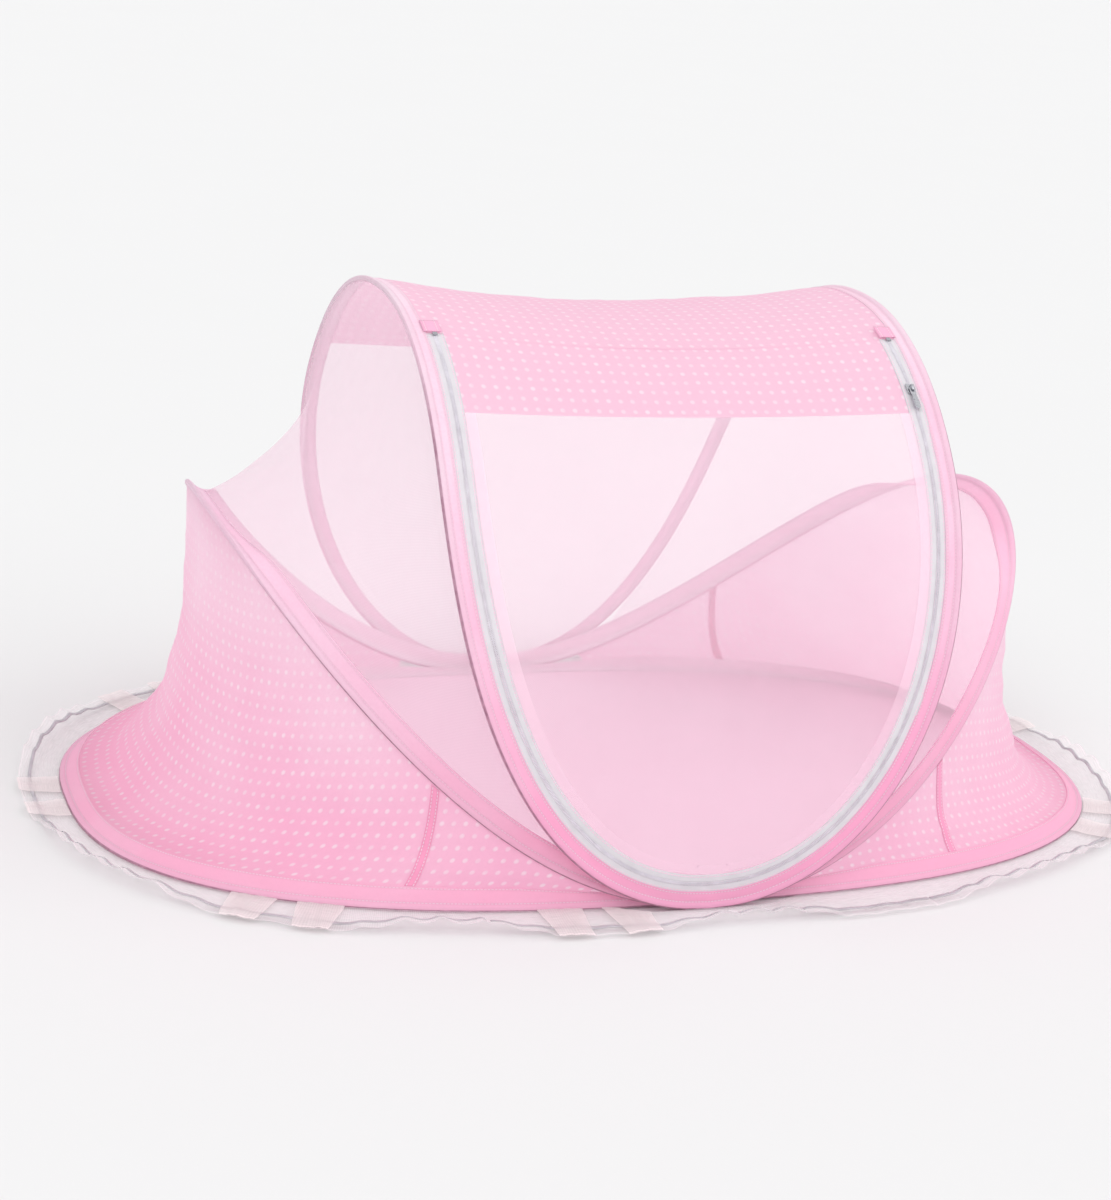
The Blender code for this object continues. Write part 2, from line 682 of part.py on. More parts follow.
def zip_slider():
    """The slider's body, and the bail on it that holds the pull tab."""
    main = two_plates("zip_slider", SLIDER_PLACE, SLIDER_WIDTH / 2, SLIDER_LENGTH / 2,
                      SLIDER_TAPER)
    top = PLATE_HIGH + BAIL_HEIGHT
    parts = [block(f"bail_foot_{word}", SLIDER_PLACE, BAIL_HALF_WIDTH, BAIL_THICKNESS / 2,
                   PLATE_HIGH - SINK, top, along=place * BAIL_HALF_LENGTH)
             for word, place in (("up", 1), ("down", -1))]
    parts.append(block("bail_bar", SLIDER_PLACE, BAIL_HALF_WIDTH, BAIL_HALF_LENGTH + BAIL_THICKNESS / 2,
                       top - BAIL_THICKNESS, top + SINK))
    change_by(main, "UNION", parts)


def zip_stops():
    """A small clamp at each top end of the zip."""
    for side, word in ((1, "right"), (-1, "left")):
        s = shift_row(-1, DOOR_TOP_S, -(STOP_LENGTH / 2 + 2 * GAP))
        outward = surface_normal(-1, s)
        forward = np.array((0.0, outward[2], -outward[1]))
        place = (surface_edge(side, -1, s, (FRAME_COIL[1] + DOOR_COIL[0]) / 2), forward, outward)
        half_width = ZIP_SPLIT / 2 + ZIP_COIL_WIDTH
        two_plates(f"zip_stop_{word}", place, half_width, STOP_LENGTH / 2, 1.0)


def pull_tab():
    """A flat tab that lies down along the zip; the bar of its eye turns inside the bail."""
    place = (PULL_PIVOT, -SLIDER_ALONG, SLIDER_OUT)
    half = PULL_THICKNESS / 2
    middle = (PULL_LENGTH - PULL_EYE_BAR) / 2
    made = block("pull_tab", place, PULL_WIDTH / 2, middle + PULL_EYE_BAR / 2, -half, half,
                 taper=PULL_EYE_WIDTH / PULL_WIDTH, along=middle)
    hole_middle = (PULL_EYE_BAR + PULL_EYE_HOLE_LENGTH) / 2
    hole = block("pull_eye_hole", place, PULL_EYE_HOLE_WIDTH / 2, PULL_EYE_HOLE_LENGTH / 2,
                 -half - SINK, half + SINK, along=hole_middle)
    change_by(made, "DIFFERENCE", [hole])


# Side nets, end panels, floor
def wire_side(row, target, thickness):
    """A point just off the round side of a sleeve, for a panel that leaves it towards a target."""
    point, along, _ = row
    towards = target - point
    towards = towards - towards.dot(along) * along
    return point + unit(towards) * (SLEEVE_RADIUS + GAP + thickness / 2)


def sleeve_edge(kind, row, thickness):
    """A point just off the flat edge of a sleeve, for a panel that may leave it at any angle."""
    point, _, across = row
    return point + across * (sleeve_width(kind, point) + GAP + thickness / 2)


def meeting_tip(low_edges, top_edges, first):
    """Where two edges that part at a small angle leave room for the tip of a panel."""
    gap_before = (top_edges[first - 1] - low_edges[first - 1])[2]
    gap_after = (top_edges[first] - low_edges[first])[2]
    share = max(0.0, (TIP_ROOM - gap_before) / (gap_after - gap_before))
    low = low_edges[first - 1] * (1 - share) + low_edges[first] * share
    top = top_edges[first - 1] * (1 - share) + top_edges[first] * share
    return low, top


def panel_edges(low_of, top_of, first, total):
    """The low and top edge points of a panel, with a narrow tip before the first and last station."""
    low_edges = [low_of(k) for k in range(total)]
    top_edges = [top_of(k) for k in range(total)]
    pairs = [(low_edges[k], top_edges[k]) for k in range(first, total - first)]
    front_tip = meeting_tip(low_edges, top_edges, first)
    rear_tip = meeting_tip(low_edges[::-1], top_edges[::-1], first)
    return [front_tip] + pairs + [rear_tip]


def side_nets():
    for side, word in ((1, "right"), (-1, "left")):
        end_rows = END_ROWS[side]
        canopy_rows = CANOPY_ROWS[side]
        pairs = panel_edges(lambda k: sleeve_edge("end", end_rows[k], NET_THICKNESS),
                            lambda k: wire_side(canopy_rows[k], end_rows[k][0], NET_THICKNESS),
                            FIRST_SIDE_STATION, len(end_rows))
        grid = []
        for k, (low, top) in enumerate(pairs):
            weight = sin(pi * k / (len(pairs) - 1)) ** 2
            inward = unit(np.cross(unit(top - low), (0, 1, 0)) * side)
            row = []
            for j in range(SIDE_STEPS + 1):
                share = j / SIDE_STEPS
                bow = SIDE_SAG * weight * 4 * share * (1 - share)
                row.append(low * (1 - share) + top * share + inward * bow)
            grid.append(row)
        cloth(f"side_net_{word}", grid, NET_THICKNESS, NET_PINK)


def end_panel_row(low, top, weight):
    """A hollow line from the base sleeve up to the end hoop."""
    hollow = END_PANEL_HOLLOW_EDGE + (END_PANEL_HOLLOW_MIDDLE - END_PANEL_HOLLOW_EDGE) * weight
    inward = hollow * (1 + END_PANEL_DRAWN_IN * weight)
    shares = np.array((inward, inward, 1 - hollow))
    bend = low + (top - low) * shares
    row = []
    for j in range(END_STEPS + 1):
        share = j / END_STEPS
        row.append(low * (1 - share) ** 2 + bend * 2 * share * (1 - share) + top * share ** 2)
    return row


def end_panel_grid(side):
    """Rows of the end panel, and the pairs of rows that carry a seam tape."""
    base_rows = BASE_ROWS[side]
    end_rows = END_ROWS[side]
    pairs = panel_edges(lambda k: sleeve_edge("base", base_rows[k], CLOTH_THICKNESS),
                        lambda k: wire_side(end_rows[k], base_rows[k][0], CLOTH_THICKNESS),
                        FIRST_END_STATION, len(end_rows))
    rows = [end_panel_row(low, top, sin(pi * k / (len(pairs) - 1)))
            for k, (low, top) in enumerate(pairs)]
    before = SEAM_TAPE_STATION - FIRST_END_STATION + 1
    tapes = []
    for first, at_rear in ((len(rows) - 2 - before, True), (before, False)):
        extra = seam_lines(rows[first], rows[first + 1], at_rear)
        rows[first + 1:first + 1] = extra
        tapes.append(extra)
    return rows, tapes


def seam_lines(near_row, far_row, at_rear):
    """The two edge lines of a seam tape between two rows of a panel, leaning towards its middle."""
    width = SEAM_TAPE_WIDTH / np.linalg.norm(far_row[0] - near_row[0])
    lines = []
    for start in (SEAM_TAPE_START, SEAM_TAPE_START + width):
        shares = [start + SEAM_TAPE_LEAN * j / END_STEPS for j in range(END_STEPS + 1)]
        if at_rear:
            shares = [1 - share for share in shares]
        lines.append([near * (1 - share) + far * share
                      for share, near, far in zip(shares, near_row, far_row)])
    return lines[::-1] if at_rear else lines


def end_panels():
    for side, word in ((1, "right"), (-1, "left")):
        rows, tapes = end_panel_grid(side)
        cloth(f"end_panel_{word}", rows, CLOTH_THICKNESS, DOTTED_PINK)
        for place, pair in zip(("rear", "front"), tapes):
            seam_tape(f"seam_tape_{place}_{word}", pair, side)


def seam_tape(name, pair, side):
    """A strip on the outside of an end panel, from the end sleeve down to the base sleeve."""
    near, far = (np.array(row) for row in pair)
    for line in (near, far):
        line[0] += (line[1] - line[0]) * SEAM_TAPE_INSET
        line[-1] += (line[-2] - line[-1]) * SEAM_TAPE_INSET
    lift = CLOTH_THICKNESS / 2 + GAP + SEAM_TAPE_THICKNESS / 2
    grid = []
    for j in range(len(near)):
        along = unit(near[min(j + 1, len(near) - 1)] - near[max(j - 1, 0)])
        across = unit(far[j] - near[j])
        outward = unit(np.cross(along, across))
        outward = outward * (1 if outward[0] * side > 0 else -1)
        grid.append([near[j] + outward * lift, far[j] + outward * lift])
    cloth(name, grid, SEAM_TAPE_THICKNESS, PINK)


def floors():
    """Half of the floor on each side, flat on the ground inside the base sleeve."""
    for side, word in ((1, "right"), (-1, "left")):
        inset = SLEEVE_RADIUS + GAP
        outline = []
        for point, along, _ in BASE_ROWS[side]:
            outward = unit(np.cross(along, (0, 0, 1)) * side)
            edge = point - outward * inset
            outline.append((edge[0], edge[1]))
        vertices = [(x, y, 0.0) for x, y in outline] + [(x, y, FLOOR_THICKNESS) for x, y in outline]
        count = len(outline)
        faces = [tuple(range(count)), tuple(range(count, 2 * count))]
        faces += [(k, (k + 1) % count, count + (k + 1) % count, count + k) for k in range(count)]
        made = new_object(f"floor_{word}", vertices, faces, FLOOR_PINK)
        merge_and_orient(made)


# Flounce: a gathered strip of cloth that lies round the base in waves, with a ribbon along it
def flounce_edge(side, front, s):
    """The flounce's sewn edge, the way out from it, and its width there.

    The edge lies just outside the base sleeve, and outside all the hoops where they cross.
    """
    along = tangent(base_point, side, front, s)
    outward = unit(np.cross((0, 0, 1), along) * side * front)
    point = base_point(side, front, s)
    room = CANOPY_HALF_WIDTH - abs(point[1])
    past_hoops = room * smooth((CROSSING_CLEAR - abs(point[0])) / CROSSING_BLEND)
    width = FLOUNCE_WIDTH - past_hoops - (FLOUNCE_WIDTH - FLOUNCE_END_WIDTH) * end_share(point)
    return point + outward * (SLEEVE_RADIUS + GAP + past_hoops), outward, width


def base_parameter(reach):
    """The s at which the base ring is this far from x = 0."""
    return float(np.arcsin((reach / BASE_HALF_LENGTH) ** (BASE_SQUARENESS / 2)))


def flounce_run(places):
    """Evenly spaced sewn-edge points along a list of (side, front, s), a quarter wave apart."""
    points = np.array([base_point(*place) for place in places])
    length = np.concatenate(([0], np.cumsum(np.linalg.norm(np.diff(points, axis=0), axis=1))))
    waves = round(length[-1] / FLOUNCE_WAVE_LENGTH)
    picked = np.interp(np.linspace(0, length[-1], waves * WAVE_STEPS + 1), length, range(len(places)))
    return [flounce_edge(*places[int(round(index))]) for index in picked]


def flounce_row(index, edge):
    """Points from the sewn edge out to the hem at one step of the waves."""
    point, outward, width = edge
    crest = (1 - cos(2 * pi * index / WAVE_STEPS)) / 2
    row = []
    for share in FLOUNCE_ROWS:
        place = point + outward * width * share * (1 - FLOUNCE_DRAW * crest)
        height = FLOUNCE_THICKNESS / 2 + (point[2] - SLEEVE_RADIUS / 2) * (1 - share) ** FLOUNCE_FALL_POWER
        height += FLOUNCE_WAVE * crest * share ** FLOUNCE_CREST_POWER
        row.append(np.array((place[0], place[1], height)))
    return row


def flounce(word, places):
    run = flounce_run(places)
    rows = [flounce_row(index, edge) for index, edge in enumerate(run)]
    cloth(f"flounce_{word}", rows, FLOUNCE_THICKNESS, FLOUNCE_WHITE)
    lift = np.array((0, 0, FLOUNCE_THICKNESS / 2 + 2 * GAP + RIBBON_THICKNESS / 2))
    near = FLOUNCE_ROWS.index(RIBBON_PLACE)
    ribbon = [[row[near] + lift, row[near + 1] + lift] for row in rows[1:-1]]
    cloth(f"ribbon_{word}", ribbon, RIBBON_THICKNESS, LILAC_GREY)


def flounces():
    meeting = base_parameter(FLOUNCE_CENTRE_HALF)
    apart = base_parameter(FLOUNCE_CENTRE_HALF + 2 * GAP)
    for side, word in ((1, "right"), (-1, "left")):
        front_part = [(side, -1, s) for s in np.linspace(apart, pi / 2, RUN_SAMPLES)]
        rear_part = [(side, 1, s) for s in np.linspace(pi / 2, apart, RUN_SAMPLES)]
        flounce(word, front_part + rear_part[1:])
    for front, word in ((-1, "front"), (1, "rear")):
        left_part = [(-1, front, s) for s in np.linspace(meeting, 0, RUN_SAMPLES)]
        right_part = [(1, front, s) for s in np.linspace(0, meeting, RUN_SAMPLES)]
        flounce(word, left_part + right_part[1:])


def hang_from(name, point, nodes):
    """Parents nodes to an empty on their joint's axis, and leaves them where they are."""
    empty = bpy.data.objects.new(name, None)
    empty.location = point
    bpy.context.scene.collection.objects.link(empty)
    for node in nodes:
        made = bpy.data.objects[node]
        made.parent = empty
        made.location = made.location - empty.location


def joints():
    """Empties on the axes of the folding ends, the door's sewn top and the slider's run."""
    for word in ("right", "left"):
        hang_from(f"{word}_end_fold", (0, 0, FOLD_Z),
                  [f"{node}_{word}" for node in ("end_wire", "end_sleeve", "end_panel", "seam_tape_front",
                                                 "seam_tape_rear", "base_wire", "base_sleeve", "floor",
                                                 "flounce", "ribbon")])
    depth = canopy_profile(-1, DOOR_TOP_S)[0]
    hang_from("door_open", (0, depth, DOOR_TOP_HEIGHT),
              ["door_net", "door_band", "zip_tape_door", "zip_coil_door"])
    hang_from("slider_run", TRACK_CENTRE, ["zip_slider"])


def build():
    canopy_frame()
    canopy_ferrule()
    end_frames()
    roof_panel()
    rear_net()
    zip_strip("zip_tape_frame", FRAME_TAPE, CLOTH_THICKNESS, WHITE)
    zip_strip("zip_coil_frame", FRAME_COIL, ZIP_COIL_HEIGHT, LILAC_GREY)
    zip_strip("zip_coil_door", DOOR_COIL, ZIP_COIL_HEIGHT, LILAC_GREY)
    zip_strip("zip_tape_door", DOOR_TAPE, CLOTH_THICKNESS, WHITE)
    zip_stops()
    door()
    zip_slider()
    pull_tab()
    side_nets()
    end_panels()
    floors()
    flounces()
    joints()


for old in list(bpy.data.objects):
    bpy.data.objects.remove(old)
build()
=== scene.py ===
"""Looks of the pop-up baby mosquito net tent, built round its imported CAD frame.

Every cloth, net and trim node is replaced by a finer sheet on the same surface, with seams, stitching
and folds, and the slider and pull by finer metal. The wires, the ferrule and the zip stops stay CAD
nodes. Metres, +Z up, door towards -Y, as in the CAD.
"""
from math import cos, exp, pi, radians, sin

import bmesh
import bpy
import numpy as np
from mathutils import Matrix, Vector, noise


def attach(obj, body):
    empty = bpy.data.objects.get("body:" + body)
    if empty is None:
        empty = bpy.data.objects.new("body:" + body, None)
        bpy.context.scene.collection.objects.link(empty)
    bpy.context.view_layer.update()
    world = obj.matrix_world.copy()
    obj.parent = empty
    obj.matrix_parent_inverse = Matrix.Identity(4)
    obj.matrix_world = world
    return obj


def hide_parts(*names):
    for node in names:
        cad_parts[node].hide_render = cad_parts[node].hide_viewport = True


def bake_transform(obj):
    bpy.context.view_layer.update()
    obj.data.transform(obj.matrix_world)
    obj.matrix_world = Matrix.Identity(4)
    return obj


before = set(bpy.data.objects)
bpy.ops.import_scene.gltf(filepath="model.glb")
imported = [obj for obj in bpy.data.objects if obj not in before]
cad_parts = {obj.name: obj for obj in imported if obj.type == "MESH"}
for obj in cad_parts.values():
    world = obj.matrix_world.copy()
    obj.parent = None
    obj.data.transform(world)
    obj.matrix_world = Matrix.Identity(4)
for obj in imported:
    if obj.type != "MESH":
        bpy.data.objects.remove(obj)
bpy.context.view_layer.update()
SIDES = ((1, "right"), (-1, "left"))

# Sizes of the hoops, the same as in the CAD
BASE_HALF_LENGTH = 0.545
BASE_HALF_WIDTH = 0.333
BASE_SQUARENESS = 2.54
END_HALF_WIDTH = 0.3405
END_REACH = 0.430
END_HEIGHT = 0.316
END_REACH_POWER = 0.785
END_HEIGHT_POWER = 1.537
CANOPY_HALF_WIDTH = 0.347
CANOPY_HALF_SPAN = 0.258
CANOPY_HEIGHT = 0.521
CANOPY_ROUNDNESS = 2.189
CANOPY_U_HEIGHT = 0.400
CANOPY_U_POWER = 2.1
WIRE_Z = 0.0033

# Sleeves
SLEEVE_RADIUS = 0.0030
SLEEVE_CLEAR = SLEEVE_RADIUS + 0.0003
SLEEVE_WIDTH = 0.020
CANOPY_SLEEVE_WIDTH = 0.015
SLEEVE_EDGE = 0.0007
EDGE_STEPS = 7
SLEEVE_SHOULDER = 0.0062
SHOULDER_SLOPE = ((0.72, 0.0014), (0.45, 0.0023))
CASING_RADIUS = SLEEVE_RADIUS * 0.95
CASING_ANGLES = (75, 100, 125, 145, 162)
SLEEVE_OPENING = 0.006
HALF_SLEEVE_GAP = 0.0002
EDGE_ROW = 0.0026
PUCKER_PLACE = 0.0075
PUCKER_HEIGHT = 0.00035
PUCKER_PITCH = 0.011
SOFT_HEIGHT = 0.0016
LINE_BEFORE = 0.0034
LINE_AFTER = 0.0003
BASE_LEAN_FRONT = radians(15)
BASE_LEAN_END = radians(60)
END_SHARE_POWER = 4
BASE_SLEEVE_TIP = 0.0048
BASE_SLEEVE_TAPER = 0.082
END_SLEEVE_UPRIGHT_TO = 0.50
END_SLEEVE_UPRIGHT_BLEND = 0.45
END_SLEEVE_LEAN_BLEND = 0.60
END_SLEEVE_DROOP = 1.50
END_SLEEVE_DROOP_FROM = 0.80
END_SLEEVE_DROOP_BLEND = 0.60
FOLD_SLOPE = 0.6745

# Panels, door and zip
ROOF_SAG = 0.018
ROOF_LIFT = 0.0004
ROOF_OVERLAP = 0.0016
CANOPY_GATHER = 0.0008
CANOPY_GATHER_PITCH = 0.021
SIDE_SAG = 0.044
HOLLOW_EDGE = 0.50
HOLLOW_MIDDLE = 0.96
DRAWN_IN = 0.22
SEAM_STATION = 5
SEAM_START = 0.35
SEAM_WIDTH = 0.010
SEAM_LEAN = 0.33
DOOR_TOP_HEIGHT = 0.500
DOOR_BAND_HEIGHT = 0.444
REAR_BAND_HEIGHT = 0.420
PANEL_OFFSET = 0.0153
PANEL_START = PANEL_OFFSET - 0.0015
DOOR_OFFSET = 0.0308
HEM_WIDTH = 0.0112
FRAME_TAPE = (0.0142, 0.0214)
DOOR_TAPE = (0.0244, 0.0318)
ZIP_MIDDLE = 0.0229
TOOTH_PITCH = 0.0015
TOOTH_REACH = 0.0021
TOOTH_CROSS = 0.0004
TOOTH_HALF_LENGTH = 0.00050
TOOTH_HALF_HEIGHT = 0.00110
PATCH_START, PATCH_LENGTH = 0.0014, 0.020
SLIDER_CENTRE = (0.2351, -0.1819257, 0.462)
TRACK_CENTRE = (0.2351, 0.011443, 0.219859)
PLATE_LOW = 0.0017
PLATE_HIGH = 0.0027
BAIL_HEIGHT = 0.0036
PULL_RISE = 0.0040
PULL_THICKNESS = 0.0010
PULL_LENGTH = 0.0254

# Floor and flounce
GROUND_LIFT = 0.0007
FLOOR_FOLD = 0.0022
FLOUNCE_WIDTH = 0.062
FLOUNCE_END_WIDTH = 0.040
FLOUNCE_CENTRE_HALF = 0.215
FLOUNCE_STEP = 0.0032
FOLD_PITCH = 0.034
FOLD_HEIGHT = 0.0056
LOOSE_RISE = 0.0110
HEM_RISE = 0.0020
UNEVEN_RISE = 0.0030
SWAY = 0.0020
GATHER_PITCH = 0.0075
GATHER_HEIGHT = 0.0007
CLOTH_PER_RUN = 1.3
CROSSING_CLEAR = 0.100
CROSSING_BLEND = 0.040
RIBBON_PLACE = 0.68
RIBBON_WIDTH = 0.0050
PLEAT_PAIRS = ((-0.383, -0.266), (-0.112, -0.333), (0.176, -0.326), (0.500, -0.190), (0.530, 0.110),
               (0.340, 0.300), (0.110, 0.333), (-0.140, 0.332), (-0.400, 0.270), (-0.545, 0.010))
PLEAT_APART = 0.062
PLEAT_TOP_HALF = 0.022
PLEAT_HEM_HALF = 0.015

# Steps
U_STEPS = 9
LIMB_STEPS = 2
TOP_STEPS = 3
QUARTER = U_STEPS + LIMB_STEPS + TOP_STEPS
STATIONS = 2 * QUARTER
SIDE_ENDS = (3.2, STATIONS - 3.2)
END_ENDS = (2.2, STATIONS - 2.2)
STEP = 0.0005
FINE = 8
ACROSS = np.linspace(0, 1, 71)
LEAST_AREA = 0.31  # the smallest share of its flat size that a sheet's area is clamped to

# Colours, linear: low down and high up on the tent
DOTTED = ((0.985, 0.570, 0.745), (0.985, 0.825, 0.908))
ROOF = ((0.940, 0.610, 0.750), (0.940, 0.655, 0.780))
DOT = (0.985, 0.830, 0.900)
CANOPY_SLEEVE = ((0.980, 0.465, 0.685), (0.965, 0.800, 0.890))
END_SLEEVE = ((0.980, 0.525, 0.715), (0.980, 0.775, 0.890))
# painted light: pale colour for the sleeves' inner side at the rear, where they lie in shade
SLEEVE_INSIDE_PAINTED_LIGHT = (1.0, 0.960, 0.985)
FLOOR_CLOTH = ((0.985, 0.720, 0.840), (0.985, 0.760, 0.870))
SEAM_TAPE = ((0.960, 0.360, 0.570), (0.960, 0.420, 0.640))
PATCH = ((0.930, 0.480, 0.670), (0.930, 0.480, 0.670))
NET = (0.990, 0.820, 0.912)
NET_HEM = (0.985, 0.785, 0.880)
LINE_MAUVE = (0.420, 0.210, 0.300)
THREAD = (0.970, 0.700, 0.820)
TAPE = (0.830, 0.800, 0.840)
COIL = (0.720, 0.690, 0.750)
VOILE = (0.945, 0.905, 0.920)
PLEAT = (0.940, 0.860, 0.860)
RIBBON = (0.600, 0.575, 0.615)
STEEL = (0.420, 0.420, 0.440)
ZINC = (0.500, 0.505, 0.540)
FLOOR_WHITE = (0.750, 0.750, 0.753)

# Sizes in the materials
RISE = (0.02, 0.34)
# painted light and shade: the cloth is painted paler towards the right by these shares, deeper where a
# share is below 0
PAINTED_LIGHT_SPAN = (-0.10, 0.45)
PAINTED_LIGHT_RIGHT = 0.28
WEAVE_PITCH = 0.0007
NET_PITCH = 0.0016
VOILE_PITCH = 0.0022
RIB_PITCH = 0.0009
DOT_PITCH = 0.0122
DOT_RADIUS = 0.0023
DOT_SOFT = 0.0008
STITCH_PITCH = 0.0034
STITCH_HALF = 0.00045
DIP_HALF = 0.0009

# Camera and light
CAMERA_PLACE = (-0.91006, -2.32278, 0.93813)
CAMERA_AZIMUTH = radians(20.3558)
CAMERA_ELEVATION = radians(16.6329)
CAMERA_ROLL = radians(4.63582)
CAMERA_LENS = 74.91
WORLD_LIGHT = 0.84
SEEN_WHITE = 0.9216
KEY_LIGHT = 0.90
FILL_LIGHT = 0.95
FLOOR_REACH = 60.0
FLOOR_DROP = 0.0004


def unit(vector):
    return vector / np.linalg.norm(vector)


def smooth(value):
    value = np.clip(value, 0.0, 1.0)
    return value * value * (3 - 2 * value)


def lengths(points):
    """Distance run along a list of points."""
    return np.concatenate(([0], np.cumsum(np.linalg.norm(np.diff(points, axis=0), axis=1))))


def ripple(u, v, seed):
    """Smooth noise between about -1 and 1."""
    return noise.fractal(Vector((u, v, seed)), 1.0, 2.0, 3)


ripples = np.vectorize(ripple, otypes=[float])


# Curves of the hoops, as in the CAD
def base_point(side, front, s):
    power = 2 / BASE_SQUARENESS
    return np.array((side * BASE_HALF_LENGTH * sin(s) ** power,
                     front * BASE_HALF_WIDTH * max(cos(s), 0.0) ** power, WIRE_Z))


def end_point(side, front, s):
    return np.array((side * END_REACH * sin(s) ** END_REACH_POWER, front * END_HALF_WIDTH * cos(s),
                     WIRE_Z + END_HEIGHT * sin(s) ** END_HEIGHT_POWER))


def profile_point(side, front, s):
    """The canopy's profile, on its middle line."""
    power = 2 / CANOPY_ROUNDNESS
    return np.array((0.0, front * CANOPY_HALF_WIDTH * max(cos(s), 0.0) ** power,
                     WIRE_Z + CANOPY_HEIGHT * sin(s) ** power))


def canopy_point(side, front, s):
    point = profile_point(side, front, s)
    share = min((point[2] - WIRE_Z) / CANOPY_U_HEIGHT, 1.0)
    point[0] = side * CANOPY_HALF_SPAN * (1 - (1 - share) ** CANOPY_U_POWER) ** (1 / CANOPY_U_POWER)
    return point


def canopy_parameter(height):
    return float(np.arcsin(((height - WIRE_Z) / CANOPY_HEIGHT) ** (CANOPY_ROUNDNESS / 2)))


def even_parameters(curve, start, stop, steps):
    """Values of s at even distances along a curve."""
    dense = np.linspace(start, stop, 1200)
    run = lengths([curve(1, 1, s) for s in dense])
    return list(np.interp(np.linspace(0, run[-1], steps + 1), run, dense))


def broken_parameters(curve, breaks):
    parameters = [0.0]
    for stop, steps in breaks:
        parameters += even_parameters(curve, parameters[-1], stop, steps)[1:]
    return parameters


DOOR_TOP_S = canopy_parameter(DOOR_TOP_HEIGHT)
DOOR_BAND_S = canopy_parameter(DOOR_BAND_HEIGHT)
REAR_BAND_S = canopy_parameter(REAR_BAND_HEIGHT)
STRAIGHT_S = canopy_parameter(CANOPY_U_HEIGHT + WIRE_Z)
CANOPY_S = {-1: broken_parameters(canopy_point, ((STRAIGHT_S, U_STEPS), (DOOR_TOP_S, LIMB_STEPS),
                                                 (pi / 2, TOP_STEPS))),
            1: broken_parameters(canopy_point, ((REAR_BAND_S, U_STEPS), (pi / 2, LIMB_STEPS + TOP_STEPS)))}
END_S = even_parameters(end_point, 0, pi / 2, QUARTER)
BASE_S = even_parameters(base_point, 0, pi / 2, QUARTER)


def tangent(curve, side, front, s):
    if s < STEP:
        return np.array((side, 0.0, 0.0))
    if s > pi / 2 - STEP:
        return np.array((0.0, -front, 0.0))
    return unit(curve(side, front, s + STEP) - curve(side, front, s - STEP))


def canopy_across(side, front, s):
    """Across the canopy sleeve, in the canopy surface, towards the middle of the opening."""
    if s > pi / 2 - STEP:
        return np.array((-side, 0.0, 0.0))
    if s < STEP:
        return np.array((0.0, 0.0, 1.0))
    along = tangent(canopy_point, side, front, s)
    rise = profile_point(side, front, s + STEP) - profile_point(side, front, s - STEP)
    sideways = np.linalg.norm(along[1:])
    return unit(np.array((-side * sideways, 0.0, 0.0)) + abs(along[0]) * unit(rise))


def end_across(side, front, s):
    """Across the end sleeve, from its wire towards the canopy hoop."""
    along = tangent(end_point, side, front, s)
    towards = canopy_point(side, front, s) - end_point(side, front, s)
    towards[1] *= smooth((s - END_SLEEVE_UPRIGHT_TO) / END_SLEEVE_LEAN_BLEND)
    towards[2] *= 1 - END_SLEEVE_DROOP * smooth((s - END_SLEEVE_DROOP_FROM) / END_SLEEVE_DROOP_BLEND)
    upright = smooth((END_SLEEVE_UPRIGHT_TO - s) / END_SLEEVE_UPRIGHT_BLEND)
    towards = (1 - upright) * unit(towards + np.array((0, 0, 1e-6))) + upright * np.array((0, 0, 1.0))
    return unit(towards - towards.dot(along) * along)


def end_share(point):
    return (abs(point[0]) / BASE_HALF_LENGTH) ** END_SHARE_POWER


def base_across(side, front, s):
    """Across the base sleeve: upright at the front and rear, lying inwards at the ends."""
    along = tangent(base_point, side, front, s)
    inward = unit(np.cross((0, 0, 1), along) * -side * front)
    lean = BASE_LEAN_FRONT + (BASE_LEAN_END - BASE_LEAN_FRONT) * end_share(base_point(side, front, s))
    return np.array((0, 0, cos(lean))) + sin(lean) * inward


HOOPS = {"canopy": (canopy_point, canopy_across, CANOPY_S),
         "end": (end_point, end_across, {-1: END_S, 1: END_S}),
         "base": (base_point, base_across, {-1: BASE_S, 1: BASE_S})}


def station(kind, side, k):
    """Point, direction of travel and width direction at station k of a half hoop, 0 at the front."""
    curve, across, parameters = HOOPS[kind]
    front = -1 if k <= QUARTER else 1
    place = k if k <= QUARTER else STATIONS - k
    s = float(np.interp(place, range(QUARTER + 1), parameters[front]))
    return curve(side, front, s), -front * tangent(curve, side, front, s), across(side, front, s)


def sleeve_width(kind, point):
    if kind == "canopy":
        return CANOPY_SLEEVE_WIDTH
    width = min(SLEEVE_WIDTH, SLEEVE_CLEAR + abs(point[0]) / FOLD_SLOPE)
    if kind == "base":
        width = min(width, BASE_SLEEVE_TIP + abs(point[0]) * BASE_SLEEVE_TAPER)
    return width


# Meshes
def add(name, data):
    """A new object in the scene."""
    made = bpy.data.objects.new(name, data)
    bpy.context.scene.collection.objects.link(made)
    return made


def assign(made, body, node):
    """Says which body a piece rides on and which node it replaces."""
    if body:
        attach(made, body)
    if node:
        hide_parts(node)


def turn_outwards(mesh):
    work = bmesh.new()
    work.from_mesh(mesh)
    bmesh.ops.recalc_face_normals(work, faces=work.faces)
    work.to_mesh(mesh)
    work.free()


def tube_faces(first, rings, count):
    """Faces of a closed tube whose rings of points follow one another, with its two end caps."""
    faces = []
    for low in range(first, first + (rings - 1) * count, count):
        for j in range(count):
            m = (j + 1) % count
            faces.append((low + j, low + m, low + count + m, low + count + j))
    last = first + (rings - 1) * count
    return faces + [tuple(range(first, first + count)), tuple(range(last, last + count))]


